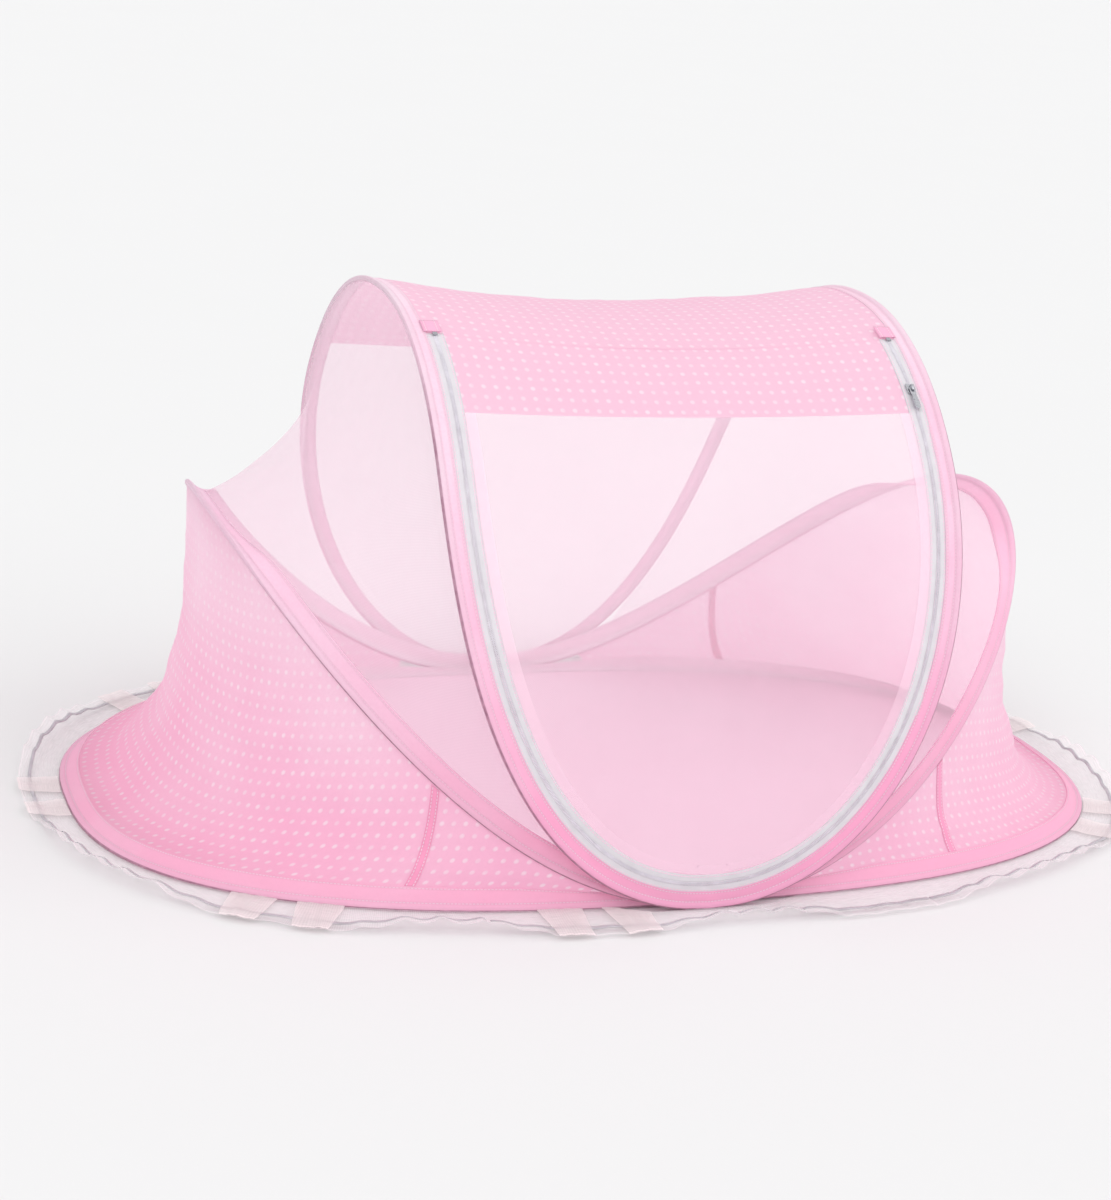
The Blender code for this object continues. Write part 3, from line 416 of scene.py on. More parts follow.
def mesh_object(name, vertices, faces, uvs, shader):
    """A smooth mesh with a UV map. uvs holds one pair for each corner of each face."""
    mesh = bpy.data.meshes.new(name)
    mesh.from_pydata([tuple(v) for v in vertices], [], faces)
    layer = mesh.uv_layers.new(name="cloth")
    layer.data.foreach_set("uv", np.asarray(uvs, np.float32).ravel())
    mesh.materials.append(shader)
    mesh.shade_smooth()
    return add(name, mesh)


def grid_sheet(name, grid, uv, shader, body=None, thickness=0.0, node=None):
    """A sheet over a grid of points, with its UVs and, if asked, a real thickness."""
    index = np.arange(grid.shape[0] * grid.shape[1]).reshape(grid.shape[:2])
    quads = np.stack([index[:-1, :-1], index[:-1, 1:], index[1:, 1:], index[1:, :-1]], axis=-1)
    faces = quads.reshape(-1, 4)
    made = mesh_object(name, grid.reshape(-1, 3), faces.tolist(), uv.reshape(-1, 2)[faces.ravel()], shader)
    if thickness:
        solid = made.modifiers.new("thickness", "SOLIDIFY")
        solid.thickness = thickness
        solid.offset = 0.0
    assign(made, body, node)
    return made


def grid_normals(grid):
    normal = np.cross(np.gradient(grid, axis=0), np.gradient(grid, axis=1))
    return normal / np.maximum(np.linalg.norm(normal, axis=2, keepdims=True), 1e-9)


def pinned(grid, power=0.6):
    """1 in the middle of a grid and 0 along its four edges."""
    u, v = (np.sin(np.linspace(0, pi, count)) ** power for count in grid.shape[:2])
    return np.outer(u, v)


def wrinkle(grid, uv, height, scale_u, scale_v, seed, power=0.6):
    """Moves a grid along its normals by stretched noise, less towards its edges."""
    lift = height * pinned(grid, power) * ripples(uv[..., 0] / scale_u, uv[..., 1] / scale_v, seed)
    return grid + grid_normals(grid) * lift[..., None]


def grid_metres(grid):
    """UVs in metres: v runs along the rows' middle, u across each row from its middle."""
    middle = grid.shape[1] // 2
    runs = np.array([lengths(row) for row in grid])
    uv = np.empty((*grid.shape[:2], 2))
    uv[..., 0] = runs - runs[:, middle:middle + 1]
    uv[..., 1] = lengths(grid[:, middle])[:, None]
    return uv


def strip_uv(grid, across):
    """UVs in metres: the run along a strip, and the given distances across it."""
    uv = np.empty((*grid.shape[:2], 2))
    uv[..., 0] = lengths(grid[:, 3])[:, None]
    uv[..., 1] = across
    return uv


def declare_size(width, length, area):
    area = min(max(area, LEAST_AREA * width * length), width * length)


def declare(grid, spare=1.0, with_pieces=()):
    """Works out the flat size and clamped area that a sheet's cloth is cut to."""
    width = round(max(lengths(row)[-1] for row in grid) * spare, 4)
    length = round(max(lengths(column)[-1] for column in grid.swapaxes(0, 1)), 4)
    area = 0.0
    for corner in (grid[:-1, :-1], grid[1:, 1:]):
        halves = np.cross(grid[1:, :-1] - corner, grid[:-1, 1:] - corner)
        area += float(np.linalg.norm(halves, axis=2).sum()) / 2
    declare_size(width, length, area * spare)


# Materials
def darker(colour, share):
    return tuple(c * share for c in colour)


class Shader:
    """Short calls for the nodes of a new material or world. A value may be a number, a colour or a
    socket."""

    def __init__(self, name, kind="materials"):
        self.made = getattr(bpy.data, kind).new(name)
        self.made.use_nodes = True
        self.nodes = self.made.node_tree.nodes
        self.links = self.made.node_tree.links

    def put(self, socket, value):
        if isinstance(value, bpy.types.NodeSocket):
            self.links.new(value, socket)
        else:
            socket.default_value = (*value, 1.0) if isinstance(value, tuple) else value

    def node(self, kind, *values):
        """A new node with values on its first inputs."""
        made = self.nodes.new("ShaderNode" + kind)
        for socket, value in zip(made.inputs, values):
            self.put(socket, value)
        return made

    def fill(self, node, **values):
        """Puts values on the inputs of these names, and gives back the node."""
        for word, value in values.items():
            self.put(node.inputs[word.replace("_", " ")], value)
        return node

    def math(self, operation, *values):
        made = self.node("Math", *values)
        made.operation = operation
        return made.outputs[0]

    def times(self, a, b):
        return self.math("MULTIPLY", a, b)

    def plus(self, a, b):
        return self.math("ADD", a, b)

    def most(self, a, b):
        return self.math("MAXIMUM", a, b)

    def split(self, vector):
        return self.node("SeparateXYZ", vector).outputs

    def object_place(self):
        return self.node("TexCoord").outputs["Object"]

    def noise(self, vector, scale, detail, rough=0.5):
        made = self.node("TexNoise")
        return self.fill(made, Vector=vector, Scale=scale, Detail=detail, Roughness=rough).outputs["Fac"]

    def ramp(self, value, start, stop, low=0.0, high=1.0):
        return self.node("MapRange", value, start, stop, low, high).outputs[0]

    def patches(self, vector, scale, detail, low=0.0, high=1.0, start=0.3, stop=0.7):
        """Noise spread between two values."""
        return self.ramp(self.noise(vector, scale, detail), start, stop, low, high)

    def band(self, value, low, high, soft):
        """1 between low and high, with soft sides."""
        rise = self.ramp(value, low - soft, low + soft)
        return self.times(rise, self.ramp(value, high + soft, high - soft))

    def blend(self, share, first, second):
        made = self.node("Mix", share)
        made.data_type = "RGBA"
        self.put(made.inputs[6], first)
        self.put(made.inputs[7], second)
        return made.outputs[2]

    def wave(self, value, pitch):
        """A wave from 0 to 1 and back over each pitch."""
        return self.math("MULTIPLY_ADD", self.math("SINE", self.times(value, 2 * pi / pitch)), 0.5, 0.5)

    def weave(self, u, v, pitch):
        """Height of a plain weave."""
        return self.most(self.wave(u, pitch), self.wave(v, pitch))

    def bump(self, height, strength, distance=0.0003, under=None):
        made = self.fill(self.node("Bump"), Strength=strength, Distance=distance, Height=height)
        if under is not None:
            self.put(made.inputs["Normal"], under)
        return made.outputs[0]

    def mix(self, share, first, second):
        return self.node("MixShader", share, first, second).outputs[0]

    def set(self, **values):
        self.fill(self.nodes["Principled BSDF"], **values)


class Cloth(Shader):
    """A cloth's material. u runs along its stitches and v across them."""

    def __init__(self, name):
        super().__init__(name)
        source = self.node("UVMap")
        source.uv_map = "cloth"
        self.uv = source.outputs[0]
        self.u, self.v, _ = self.split(self.uv)

    def rows(self, places, half, soft):
        """1 near each of the given places of v."""
        total = None
        for place in places:
            line = self.band(self.v, place - half, place + half, soft)
            total = line if total is None else self.most(total, line)
        return total

    def stitches(self, places):
        """Rows of stitches along u, at the given places of v."""
        phase = self.math("FRACT", self.math("DIVIDE", self.u, STITCH_PITCH))
        return self.times(self.rows(places, STITCH_HALF, 0.00012), self.band(phase, 0.14, 0.80, 0.05))

    def woven(self, colours, places=(), rise=RISE, right_painted_light=PAINTED_LIGHT_RIGHT):
        """Colour and normal of a woven cloth, with rows of stitches in soft dips that painted shade
        darkens.

        It is deeper low down and paler high up, with painted light and shade that make it paler towards the
        right (deeper where the share is below 0), with slow changes and slubs.
        """
        place = self.object_place()
        x, _, z = self.split(place)
        # painted light: the colour share also grows towards the right
        share = self.plus(self.ramp(z, *rise), self.ramp(x, *PAINTED_LIGHT_SPAN, 0.0, right_painted_light))
        body = self.blend(self.plus(share, self.patches(place, 9.0, 3.0, low=-0.18, high=0.18)), *colours)
        slub = self.noise(self.uv, 260.0, 2.0)
        body = self.blend(self.times(self.ramp(slub, 0.35, 0.7), 0.12), body, darker(colours[0], 0.86))
        height = self.math("MULTIPLY_ADD", slub, 0.6, self.weave(self.u, self.v, WEAVE_PITCH))
        normal = self.bump(height, 0.22, 0.00025)
        if not places:
            return body, normal
        marks = self.stitches(places)
        dip_and_painted_shade = self.rows(places, DIP_HALF, DIP_HALF)
        # painted shade: the colour is darkened along the stitch dips
        body = self.blend(self.times(dip_and_painted_shade, 0.20), body, darker(colours[0], 0.72))
        body = self.blend(marks, body, THREAD)
        return body, self.bump(self.math("SUBTRACT", marks, dip_and_painted_shade), 0.6, 0.0005, normal)

    def finish(self, colour, roughness, through, normal=None, cover=None, sheen=0.2, nap=0.5):
        """Ends the cloth: a share of the light shines through it, and it has holes where cover is low."""
        self.set(Base_Color=colour, Roughness=roughness, Sheen_Weight=sheen, Sheen_Roughness=nap)
        if normal is not None:
            self.set(Normal=normal)
        glow = self.node("BsdfTranslucent", colour)
        shown = self.mix(through, self.nodes["Principled BSDF"].outputs[0], glow.outputs[0])
        if cover is not None:
            shown = self.mix(cover, self.node("BsdfTransparent").outputs[0], shown)
        self.links.new(shown, self.nodes["Material Output"].inputs[0])
        return self.made


def plain_cloth(name, colours, places=()):
    cloth = Cloth(name)
    body, normal = cloth.woven(colours, places)
    return cloth.finish(body, roughness=0.8, through=0.15, normal=normal)


def dotted_cloth(name, colours):
    """Pink cloth with rows of small soft dots, each a little different in depth."""
    cloth = Cloth(name)
    body, normal = cloth.woven(colours)
    squares = []
    for value in (cloth.u, cloth.v):
        turns = cloth.plus(cloth.math("DIVIDE", value, DOT_PITCH), 100.0)
        cell = cloth.math("SUBTRACT", cloth.math("FRACT", turns), 0.5)
        squares.append(cloth.math("POWER", cell, 2.0))
    distance = cloth.math("SQRT", cloth.plus(*squares))
    dot = cloth.ramp(distance, (DOT_RADIUS + DOT_SOFT) / DOT_PITCH, (DOT_RADIUS - DOT_SOFT) / DOT_PITCH)
    depth = cloth.patches(cloth.uv, 55.0, 1.0, low=0.50, high=1.0, start=0.35, stop=0.65)
    body = cloth.blend(cloth.times(dot, depth), body, DOT)
    normal = cloth.bump(dot, 0.35, 0.0004, normal)
    return cloth.finish(body, roughness=0.8, through=0.50, normal=normal)


def sleeve_cloth(name, colours, places, rise, right_painted_light, line_fade):
    """Sleeve cloth: stitched beside the wire and along the panel, with painted light making its inner side
    paler at the rear, and a dark line over the wire that fades between two heights."""
    cloth = Cloth(name)
    body, normal = cloth.woven(colours, places["stitches"], rise, right_painted_light)
    _, y, z = cloth.split(cloth.object_place())
    line_end = places["line"][1]
    # painted light: the inner side of the sleeve is painted paler at the rear, where it lies in shade
    inside = cloth.ramp(cloth.v, line_end + 0.001, line_end + 0.004)
    behind = cloth.ramp(y, 0.02, 0.12, 0.10, 0.92)
    body = cloth.blend(cloth.times(inside, behind), body, SLEEVE_INSIDE_PAINTED_LIGHT)
    # the dark line's strength: patchy, and weaker above a height
    line_strength = cloth.patches(cloth.uv, 120.0, 2.0, low=0.60, high=1.0, start=0.25, stop=0.75)
    line_strength = cloth.times(line_strength, cloth.ramp(z, *line_fade, 1.0, 0.25))
    line = cloth.times(cloth.band(cloth.v, *places["line"], 0.0003), line_strength)
    body = cloth.blend(line, body, LINE_MAUVE)
    return cloth.finish(body, roughness=0.78, through=0.30, normal=normal)


def net_cloth(name, colour, solid, fade=None):
    """Fine net: a lattice of threads, a little denser in places. It can thin out below a height."""
    cloth = Cloth(name)
    place = cloth.object_place()
    slant = cloth.plus(cloth.u, cloth.v), cloth.math("SUBTRACT", cloth.u, cloth.v)
    fine = cloth.ramp(cloth.weave(*slant, NET_PITCH), 0.55, 1.0, -0.022, 0.022)
    dense = cloth.patches(place, 6.0, 3.0, low=-0.03, high=0.03)
    cover = cloth.plus(cloth.plus(fine, dense), solid)
    if fade:
        cover = cloth.times(cover, cloth.ramp(cloth.split(place)[2], *fade, 0.25, 1.0))
    return cloth.finish(colour, roughness=0.75, through=0.35, cover=cover)


def voile_cloth(name, colour, solid):
    """Sheer crisp voile with fine crosswise lines and a rolled hem. Its v is a share of the width."""
    cloth = Cloth(name)
    lines = cloth.wave(cloth.u, VOILE_PITCH)
    uneven = cloth.patches(cloth.uv, 60.0, 3.0, low=-0.06, high=0.08)
    uneven = cloth.math("MULTIPLY_ADD", lines, 0.06, uneven)
    hem = cloth.times(cloth.band(cloth.v, 0.960, 1.10, 0.01), 0.20)
    cover = cloth.plus(cloth.plus(uneven, solid), hem)
    return cloth.finish(colour, roughness=0.5, through=0.25, normal=cloth.bump(lines, 0.15), cover=cover,
                        sheen=0.3, nap=0.4)


def ribbon_cloth(name):
    """Narrow satin ribbon with fine ribs."""
    cloth = Cloth(name)
    tone = cloth.patches(cloth.uv, 40.0, 2.0)
    body = cloth.blend(tone, darker(RIBBON, 0.88), darker(RIBBON, 1.16))
    normal = cloth.bump(cloth.wave(cloth.u, RIB_PITCH), 0.3)
    return cloth.finish(body, roughness=0.4, through=0.25, normal=normal)


def tape_cloth(name):
    """Zip tape: herringbone ribs, and a row of stitches along the sewn edge."""
    cloth = Cloth(name)
    rib = cloth.wave(cloth.plus(cloth.u, cloth.math("PINGPONG", cloth.v, 0.0016)), RIB_PITCH)
    marks = cloth.stitches((0.0020,))
    grime = cloth.patches(cloth.uv, 70.0, 3.0, low=0.0, high=0.3, start=0.35, stop=0.75)
    body = cloth.blend(cloth.math("MULTIPLY_ADD", rib, 0.14, grime), TAPE, darker(TAPE, 0.80))
    body = cloth.blend(marks, body, THREAD)
    normal = cloth.bump(cloth.plus(rib, cloth.times(marks, 1.5)), 0.5)
    return cloth.finish(body, roughness=0.7, through=0.2, normal=normal, sheen=0.15)


def nylon(name):
    """Smooth nylon of the zip's coil."""
    shader = Shader(name)
    tone = shader.patches(shader.object_place(), 90.0, 2.0)
    body = shader.blend(tone, darker(COIL, 0.9), darker(COIL, 1.1))
    shader.set(Base_Color=body, Roughness=0.32, Coat_Weight=0.3)
    return shader.made


def plated(name, colour, roughness):
    """Plated or drawn metal, with fine scratches and duller patches."""
    shader = Shader(name)
    place = shader.object_place()
    scratch = shader.noise(place, 1400.0, 3.0, 0.7)
    body = shader.blend(shader.patches(place, 220.0, 2.0), darker(colour, 0.85), colour)
    dull = shader.ramp(scratch, 0.3, 0.7, roughness * 0.75, roughness * 1.35)
    shader.set(Base_Color=body, Metallic=1.0, Roughness=dull, Normal=shader.bump(scratch, 0.15, 0.0001))
    return shader.made


# Sleeves round the hoops
def sleeve_outline(width):
    """Outline of a sleeve from the far edge round the wire and back, as (across, outwards)."""
    shoulder = min(SLEEVE_SHOULDER, 0.7 * width)
    outer = [(width, 0.0)] + [(w, SLEEVE_EDGE) for w in np.linspace(width, shoulder, EDGE_STEPS + 1)]
    outer += [(share * shoulder, n) for share, n in SHOULDER_SLOPE]
    outer += [(CASING_RADIUS * cos(radians(a)), CASING_RADIUS * sin(radians(a))) for a in CASING_ANGLES]
    outer.append((-CASING_RADIUS, 0.0))
    return outer + [(w, -n) for w, n in outer[-2:0:-1]]


def outline_run(width):
    """Distance round a sleeve's outline, starting at its far edge."""
    outline = sleeve_outline(width)
    return lengths(outline + outline[:1])


def sleeve_places(width):
    """Where on the outline's run the stitches and the dark line lie."""
    run = outline_run(width)
    end = run[-1]
    casing_row = run[EDGE_STEPS + 2] - 0.0004
    return {"stitches": (EDGE_ROW, casing_row, end - casing_row, end - EDGE_ROW),
            "line": (end / 2 - LINE_BEFORE, end / 2 + LINE_AFTER)}


def sleeve(name, rows, kind, shader, body, seed):
    """The sewn sleeve of one hoop, puckered along its stitches."""
    run = outline_run(CANOPY_SLEEVE_WIDTH if kind == "canopy" else SLEEVE_WIDTH)
    travelled = lengths([row[0] for row in rows])
    outer = rows[0][0] - np.array((0.0, 0.0, 0.12))
    vertices = []
    for (point, along, across), length in zip(rows, travelled):
        width = sleeve_width(kind, point)
        normal = np.cross(along, across)
        normal = normal if normal.dot(outer) > 0 else -normal
        outer = normal
        pucker = PUCKER_HEIGHT * sin(2 * pi * length / PUCKER_PITCH + 3 * ripple(length * 30, 0.3, seed))
        for w, n in sleeve_outline(width):
            share = min(w / width, 1.0)
            free = smooth((w - 0.004) / 0.004) * smooth(width / 0.012)
            near_stitch = exp(-((w - PUCKER_PLACE) / 0.004) ** 2)
            soft = SOFT_HEIGHT * ripple(length * 16, w * 40, seed) * share * (1.15 - share)
            vertices.append(point + across * w + normal * (n + free * (pucker * near_stitch + soft)))
    uvs = []
    for near, far in zip(travelled[:-1], travelled[1:]):
        for low, high in zip(run[:-1], run[1:]):
            uvs += [(near, low), (near, high), (far, high), (far, low)]
    uvs += [(0.0, place) for place in run[:-1]] * 2
    made = mesh_object(name, vertices, tube_faces(0, len(rows), len(run) - 1), uvs, shader)
    turn_outwards(made.data)
    assign(made, body, name.replace("casing", "sleeve"))
    flat_width = round(float(run[-1]) / 2, 4)
    flat_length = round(float(travelled[-1]), 3)
    area = 1.1 * sum(step * sleeve_width(kind, row[0]) for step, row in zip(np.diff(travelled), rows))
    declare_size(flat_width, flat_length, area)


def fine_stations(side, kind):
    return [station(kind, side, k) for k in np.linspace(0, STATIONS, STATIONS * FINE + 1)]


def shift_ends(rows, amount, first=1, last=-1):
    """Moves the first and the last station of a sleeve along X."""
    for index, sign in ((0, first), (-1, last)):
        point, along, across = rows[index]
        rows[index] = (point + np.array((sign * amount, 0, 0)), along, across)


def sleeves():
    """The casings of the canopy hoop, the two end hoops and the two halves of the base ring."""
    # painted shade: the sleeves are painted deeper towards the right
    canopy = sleeve_cloth("canopy_sleeve_cloth", CANOPY_SLEEVE, sleeve_places(CANOPY_SLEEVE_WIDTH),
                          rise=(0.02, 0.50), right_painted_light=-0.24, line_fade=(0.42, 0.50))
    other = sleeve_cloth("end_sleeve_cloth", END_SLEEVE, sleeve_places(SLEEVE_WIDTH),
                         rise=RISE, right_painted_light=-0.50, line_fade=(0.19, 0.28))
    right = [(point, -along, across) for point, along, across in fine_stations(1, "canopy")[::-1]]
    loop = right + fine_stations(-1, "canopy")[1:]
    shift_ends(loop, SLEEVE_OPENING / 2)
    sleeve("canopy_casing", loop, "canopy", canopy, "canopy", 1.0)
    for side, word in SIDES:
        for kind in ("end", "base"):
            rows = fine_stations(side, kind)
            shift_ends(rows, HALF_SLEEVE_GAP, side, side)
            sleeve(f"{kind}_casing_{word}", rows, kind, other, f"{word}_end", 3.0 + side)


# Canopy surface
def surface_edge(side, front, s, offset):
    return canopy_point(side, front, s) + offset * canopy_across(side, front, s)


def surface_normal(front, s):
    rise = profile_point(1, front, min(s + STEP, pi / 2)) - profile_point(1, front, max(s - STEP, 0.0))
    return unit(np.array((0.0, front * rise[2], -front * rise[1])))


def surface_row(front, s, offset):
    left = surface_edge(-1, front, s, offset)
    right = surface_edge(1, front, s, offset)
    share = ACROSS[:, None]
    bow = ROOF_SAG * smooth(s / (pi / 2)) ** 2 * 4 * share * (1 - share)
    return left * (1 - share) + right * share - surface_normal(front, s) * bow


def between(front, start, stop, spacing=0.006):
    """Places (front, s) on the canopy about this far apart."""
    reach = np.linalg.norm(profile_point(1, 1, stop) - profile_point(1, 1, start))
    steps = max(int(reach / spacing), 4)
    return [(front, s) for s in even_parameters(profile_point, start, stop, steps)]


def further(s, distance):
    """The s that lies this much farther up the front of the canopy."""
    step = profile_point(1, -1, s + STEP) - profile_point(1, -1, s)
    return s + distance * STEP / np.linalg.norm(step)


def canopy_grid(places, offset, height, scale, seed):
    """A grid in the canopy surface over a list of (front, s), with folds that run in from its seams."""
    grid = np.array([surface_row(front, s, offset) for front, s in places])
    uv = grid_metres(grid)
    uv[..., 0] = grid[..., 0]
    grid = wrinkle(grid, uv, height, scale, scale * 1.6, seed)
    run = uv[:, 0, 1]
    near_seam = np.exp(-np.minimum(ACROSS, 1 - ACROSS) * 14)
    gathers = np.sin(run * 2 * pi / CANOPY_GATHER_PITCH + 2.5 * ripples(run * 20, 0.0, seed))
    lift = CANOPY_GATHER * np.outer(gathers, near_seam) * np.minimum(pinned(grid) * 3, 1)
    return grid + grid_normals(grid) * lift[..., None], uv


def bend(made):
    """Bakes a sheet's placement into its mesh."""
    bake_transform(made)


def canopy_panels(dotted, net, hem, patch):
    """Roof, rear net, and the door's band and net."""
    top_front = between(-1, further(DOOR_TOP_S, -ROOF_OVERLAP), pi / 2)
    top_rear = between(1, REAR_BAND_S, pi / 2)[::-1]
    grid, uv = canopy_grid(top_front + top_rear[1:], PANEL_START, height=0.0024, scale=0.07, seed=5.0)
    lift = ROOF_LIFT * np.exp(-(uv[:, 0, 1] / 0.004) ** 2)
    grid += np.outer(lift, surface_normal(-1, DOOR_TOP_S))[:, None, :]
    patches = zip_patches(patch)
    made = grid_sheet("roof_cloth", grid, uv, dotted, "canopy", node="roof_panel")
    declare(grid, with_pieces=patches)

    grid, uv = canopy_grid(between(1, 0.0, REAR_BAND_S, 0.010), PANEL_START, height=0.0030, scale=0.12,
                           seed=7.0)
    made = grid_sheet("rear_mesh", grid, uv, net, "canopy", node="rear_net")
    declare(grid)

    grid, uv = canopy_grid(between(-1, DOOR_BAND_S, DOOR_TOP_S, 0.004), DOOR_OFFSET, height=0.0014,
                           scale=0.06, seed=9.0)
    made = grid_sheet("door_cloth", grid, uv, dotted, node="door_band")
    bend(made)
    declare(grid)

    grid, uv = canopy_grid(between(-1, 0.0, DOOR_BAND_S, 0.010), DOOR_OFFSET, height=0.0030, scale=0.12,
                           seed=11.0)
    binding = door_hem(hem)
    made = grid_sheet("door_mesh", grid, uv, net, "door", node="door_net")
    declare(grid, with_pieces=["tape_inner", "teeth_inner", binding])


# Zip and what is sewn beside it
def zip_path(density):
    """Places (side, s) down the left side of the zip, round the bottom and up the right side."""
    parameters = even_parameters(canopy_point, 0.0, DOOR_TOP_S, QUARTER * density)
    return [(-1, s) for s in parameters[::-1]] + [(1, s) for s in parameters[1:]]


def zip_strip(places, across, lift=0.0):
    """A grid over a list of (side, s), at these distances from the hoop."""
    return np.array([[surface_edge(side, -1, s, offset) + surface_normal(-1, s) * lift for offset in across]
                     for side, s in places])


def zip_patches(shader):
    """A small sewn patch above each top end of the zip. Gives back their names."""
    names = []
    across = np.linspace(PANEL_OFFSET - 0.0022, DOOR_TAPE[1] - 0.0010, 7)
    for side, word in SIDES:
        places = [(side, further(DOOR_TOP_S, distance))
                  for distance in np.linspace(PATCH_START, PATCH_LENGTH, 9)]
        grid = zip_strip(places, across, lift=0.0017)
        uv = grid_metres(grid)[..., ::-1]
        uv[..., 1] += 0.5 * (DOOR_TAPE[1] - PANEL_OFFSET)
        made = grid_sheet(f"zip_patch_{word}", grid, uv, shader, "canopy",
                          thickness=0.0005)
        declare(grid)
        names.append(made.name)
    return names


def door_hem(shader):
    """The pale binding of the door net, inside the zip."""
    across = np.linspace(0, HEM_WIDTH, 6)
    places = [(side, s) for side, s in zip_path(10) if s <= DOOR_BAND_S]
    grid = zip_strip(places, DOOR_OFFSET + across, lift=0.0007)
    made = grid_sheet("door_hem", grid, strip_uv(grid, across), shader, "door")
    declare(grid)
    return made


def zip_tape(name, node, offsets, shader, body, sewn_edge):
    """One tape of the zip. Its stitches run along the sewn edge."""
    across = np.linspace(*offsets, 6)
    grid = zip_strip(zip_path(14), across)
    uv = strip_uv(grid, abs(across - sewn_edge))
    waver = 0.0004 * ripples(uv[:, 0, 0] * 25, 0.5, 23.0)
    grid = grid + grid_normals(grid) * waver[:, None, None]
    grid_sheet(name, grid, uv, shader, body, thickness=0.0007, node=node)


def coil(name, node, start_offset, stop_offset, phase, shader, body):
    """A row of nylon teeth: each a short rounded bar across the zip, thickest in the middle."""
    places = zip_path(26)
    centres = zip_strip(places, (ZIP_MIDDLE,))[:, 0]
    run = lengths(centres)
    middle = 0.35 * stop_offset + 0.65 * start_offset
    sections = ((start_offset, 0.72), (middle, 1.0), (stop_offset, 0.88))
    corners = 6
    profile = [(cos(a), sin(a)) for a in np.linspace(0, 2 * pi, corners + 1)[:-1]]
    vertices, faces = [], []
    for k in range(int((run[-1] - 0.004) / TOOTH_PITCH)):
        where = np.interp(0.002 + (k + phase) * TOOTH_PITCH, run, range(len(places)))
        low = min(int(where), len(places) - 2)
        side, s = places[low]
        centre = centres[low] + (where - low) * (centres[low + 1] - centres[low])
        forward = unit(centres[low + 1] - centres[low])
        normal = surface_normal(-1, s)
        across = unit(np.cross(normal, forward))
        across *= np.sign(across.dot(canopy_across(side, -1, s)))
        faces += tube_faces(len(vertices), len(sections), corners)
        for offset, size in sections:
            vertices += [centre + across * offset + forward * c * TOOTH_HALF_LENGTH * size
                         + normal * n * TOOTH_HALF_HEIGHT * size for c, n in profile]
    uvs = [(0.0, 0.0)] * sum(len(face) for face in faces)
    made = mesh_object(name, vertices, faces, uvs, shader)
    turn_outwards(made.data)
    assign(made, body, node)


def zips():
    tape = tape_cloth("zip_tape_cloth")
    teeth = nylon("zip_nylon")
    zip_tape("tape_outer", "zip_tape_frame", FRAME_TAPE, tape, "canopy", FRAME_TAPE[0])
    zip_tape("tape_inner", "zip_tape_door", DOOR_TAPE, tape, "door", DOOR_TAPE[1])
    coil("teeth_outer", "zip_coil_frame", -TOOTH_REACH, TOOTH_CROSS, 0.0, teeth, "canopy")
    coil("teeth_inner", "zip_coil_door", TOOTH_REACH, -TOOTH_CROSS, 0.5, teeth, "door")


# Side nets, end panels and floor
def flat_edge(row, kind):
    """Just inside the flat edge of a sleeve."""
    return row[0] + row[2] * (sleeve_width(kind, row[0]) - 0.001)


def round_edge(row, other):
    """The round side of a sleeve, towards the other hoop."""
    towards = other[0] - row[0]
    towards = towards - towards.dot(row[1]) * row[1]
    return row[0] + unit(towards) * (SLEEVE_RADIUS * 0.7)


def panel_edges(side, lower, upper, ends, count):
    """Along two half hoops: a weight, 1 at mid-length and 0 at the ends, and a point on each sleeve."""
    for share in np.linspace(0, 1, count):
        k = ends[0] + share * (ends[1] - ends[0])
        below, above = station(lower, side, k), station(upper, side, k)
        yield sin(pi * share), flat_edge(below, lower), round_edge(above, below)


def side_mesh(side, word, net):
    share = np.linspace(0, 1, 41)[:, None]
    grid = []
    for weight, low, top in panel_edges(side, "end", "canopy", SIDE_ENDS, 150):
        inward = unit(np.cross(unit(top - low), (0, 1, 0)) * side)
        sag = SIDE_SAG * weight ** 2 * 4 * share * (1 - share)
        grid.append(low * (1 - share) + top * share + inward * sag)
    grid = np.array(grid)
    uv = grid_metres(grid)
    grid = wrinkle(grid, uv, height=0.004, scale_u=0.12, scale_v=0.10, seed=13.0 + side)
    made = grid_sheet(f"side_mesh_{word}", grid, uv, net, node=f"side_net_{word}")
    bend(made)
    declare(grid)


def end_cloth(side, word, dotted, tape):
    """The dotted panel of one end, hollow and drawn in at half height."""
    share = np.linspace(0, 1, 61)[:, None]
    grid = []
    for weight, low, top in panel_edges(side, "base", "end", END_ENDS, 190):
        hollow = HOLLOW_EDGE + (HOLLOW_MIDDLE - HOLLOW_EDGE) * weight
        inward = hollow * (1 + DRAWN_IN * weight)
        middle = low + (top - low) * np.array((inward, inward, 1 - hollow))
        grid.append(low * (1 - share) ** 2 + middle * 2 * share * (1 - share) + top * share ** 2)
    grid = np.array(grid)
    around = lengths(grid[:, 0])
    uv = np.empty((*grid.shape[:2], 2))
    uv[..., 0] = (around - around[len(around) // 2])[:, None]
    uv[..., 1] = [lengths(row) for row in grid]
    grid = wrinkle(grid, uv, height=0.0050, scale_u=0.20, scale_v=0.045, seed=17.0 + side, power=0.8)
    made = grid_sheet(f"end_cloth_{word}", grid, uv, dotted, f"{word}_end",
                      node=f"end_panel_{word}")
    declare(grid,
            with_pieces=seam_tapes(side, word, grid, tape))


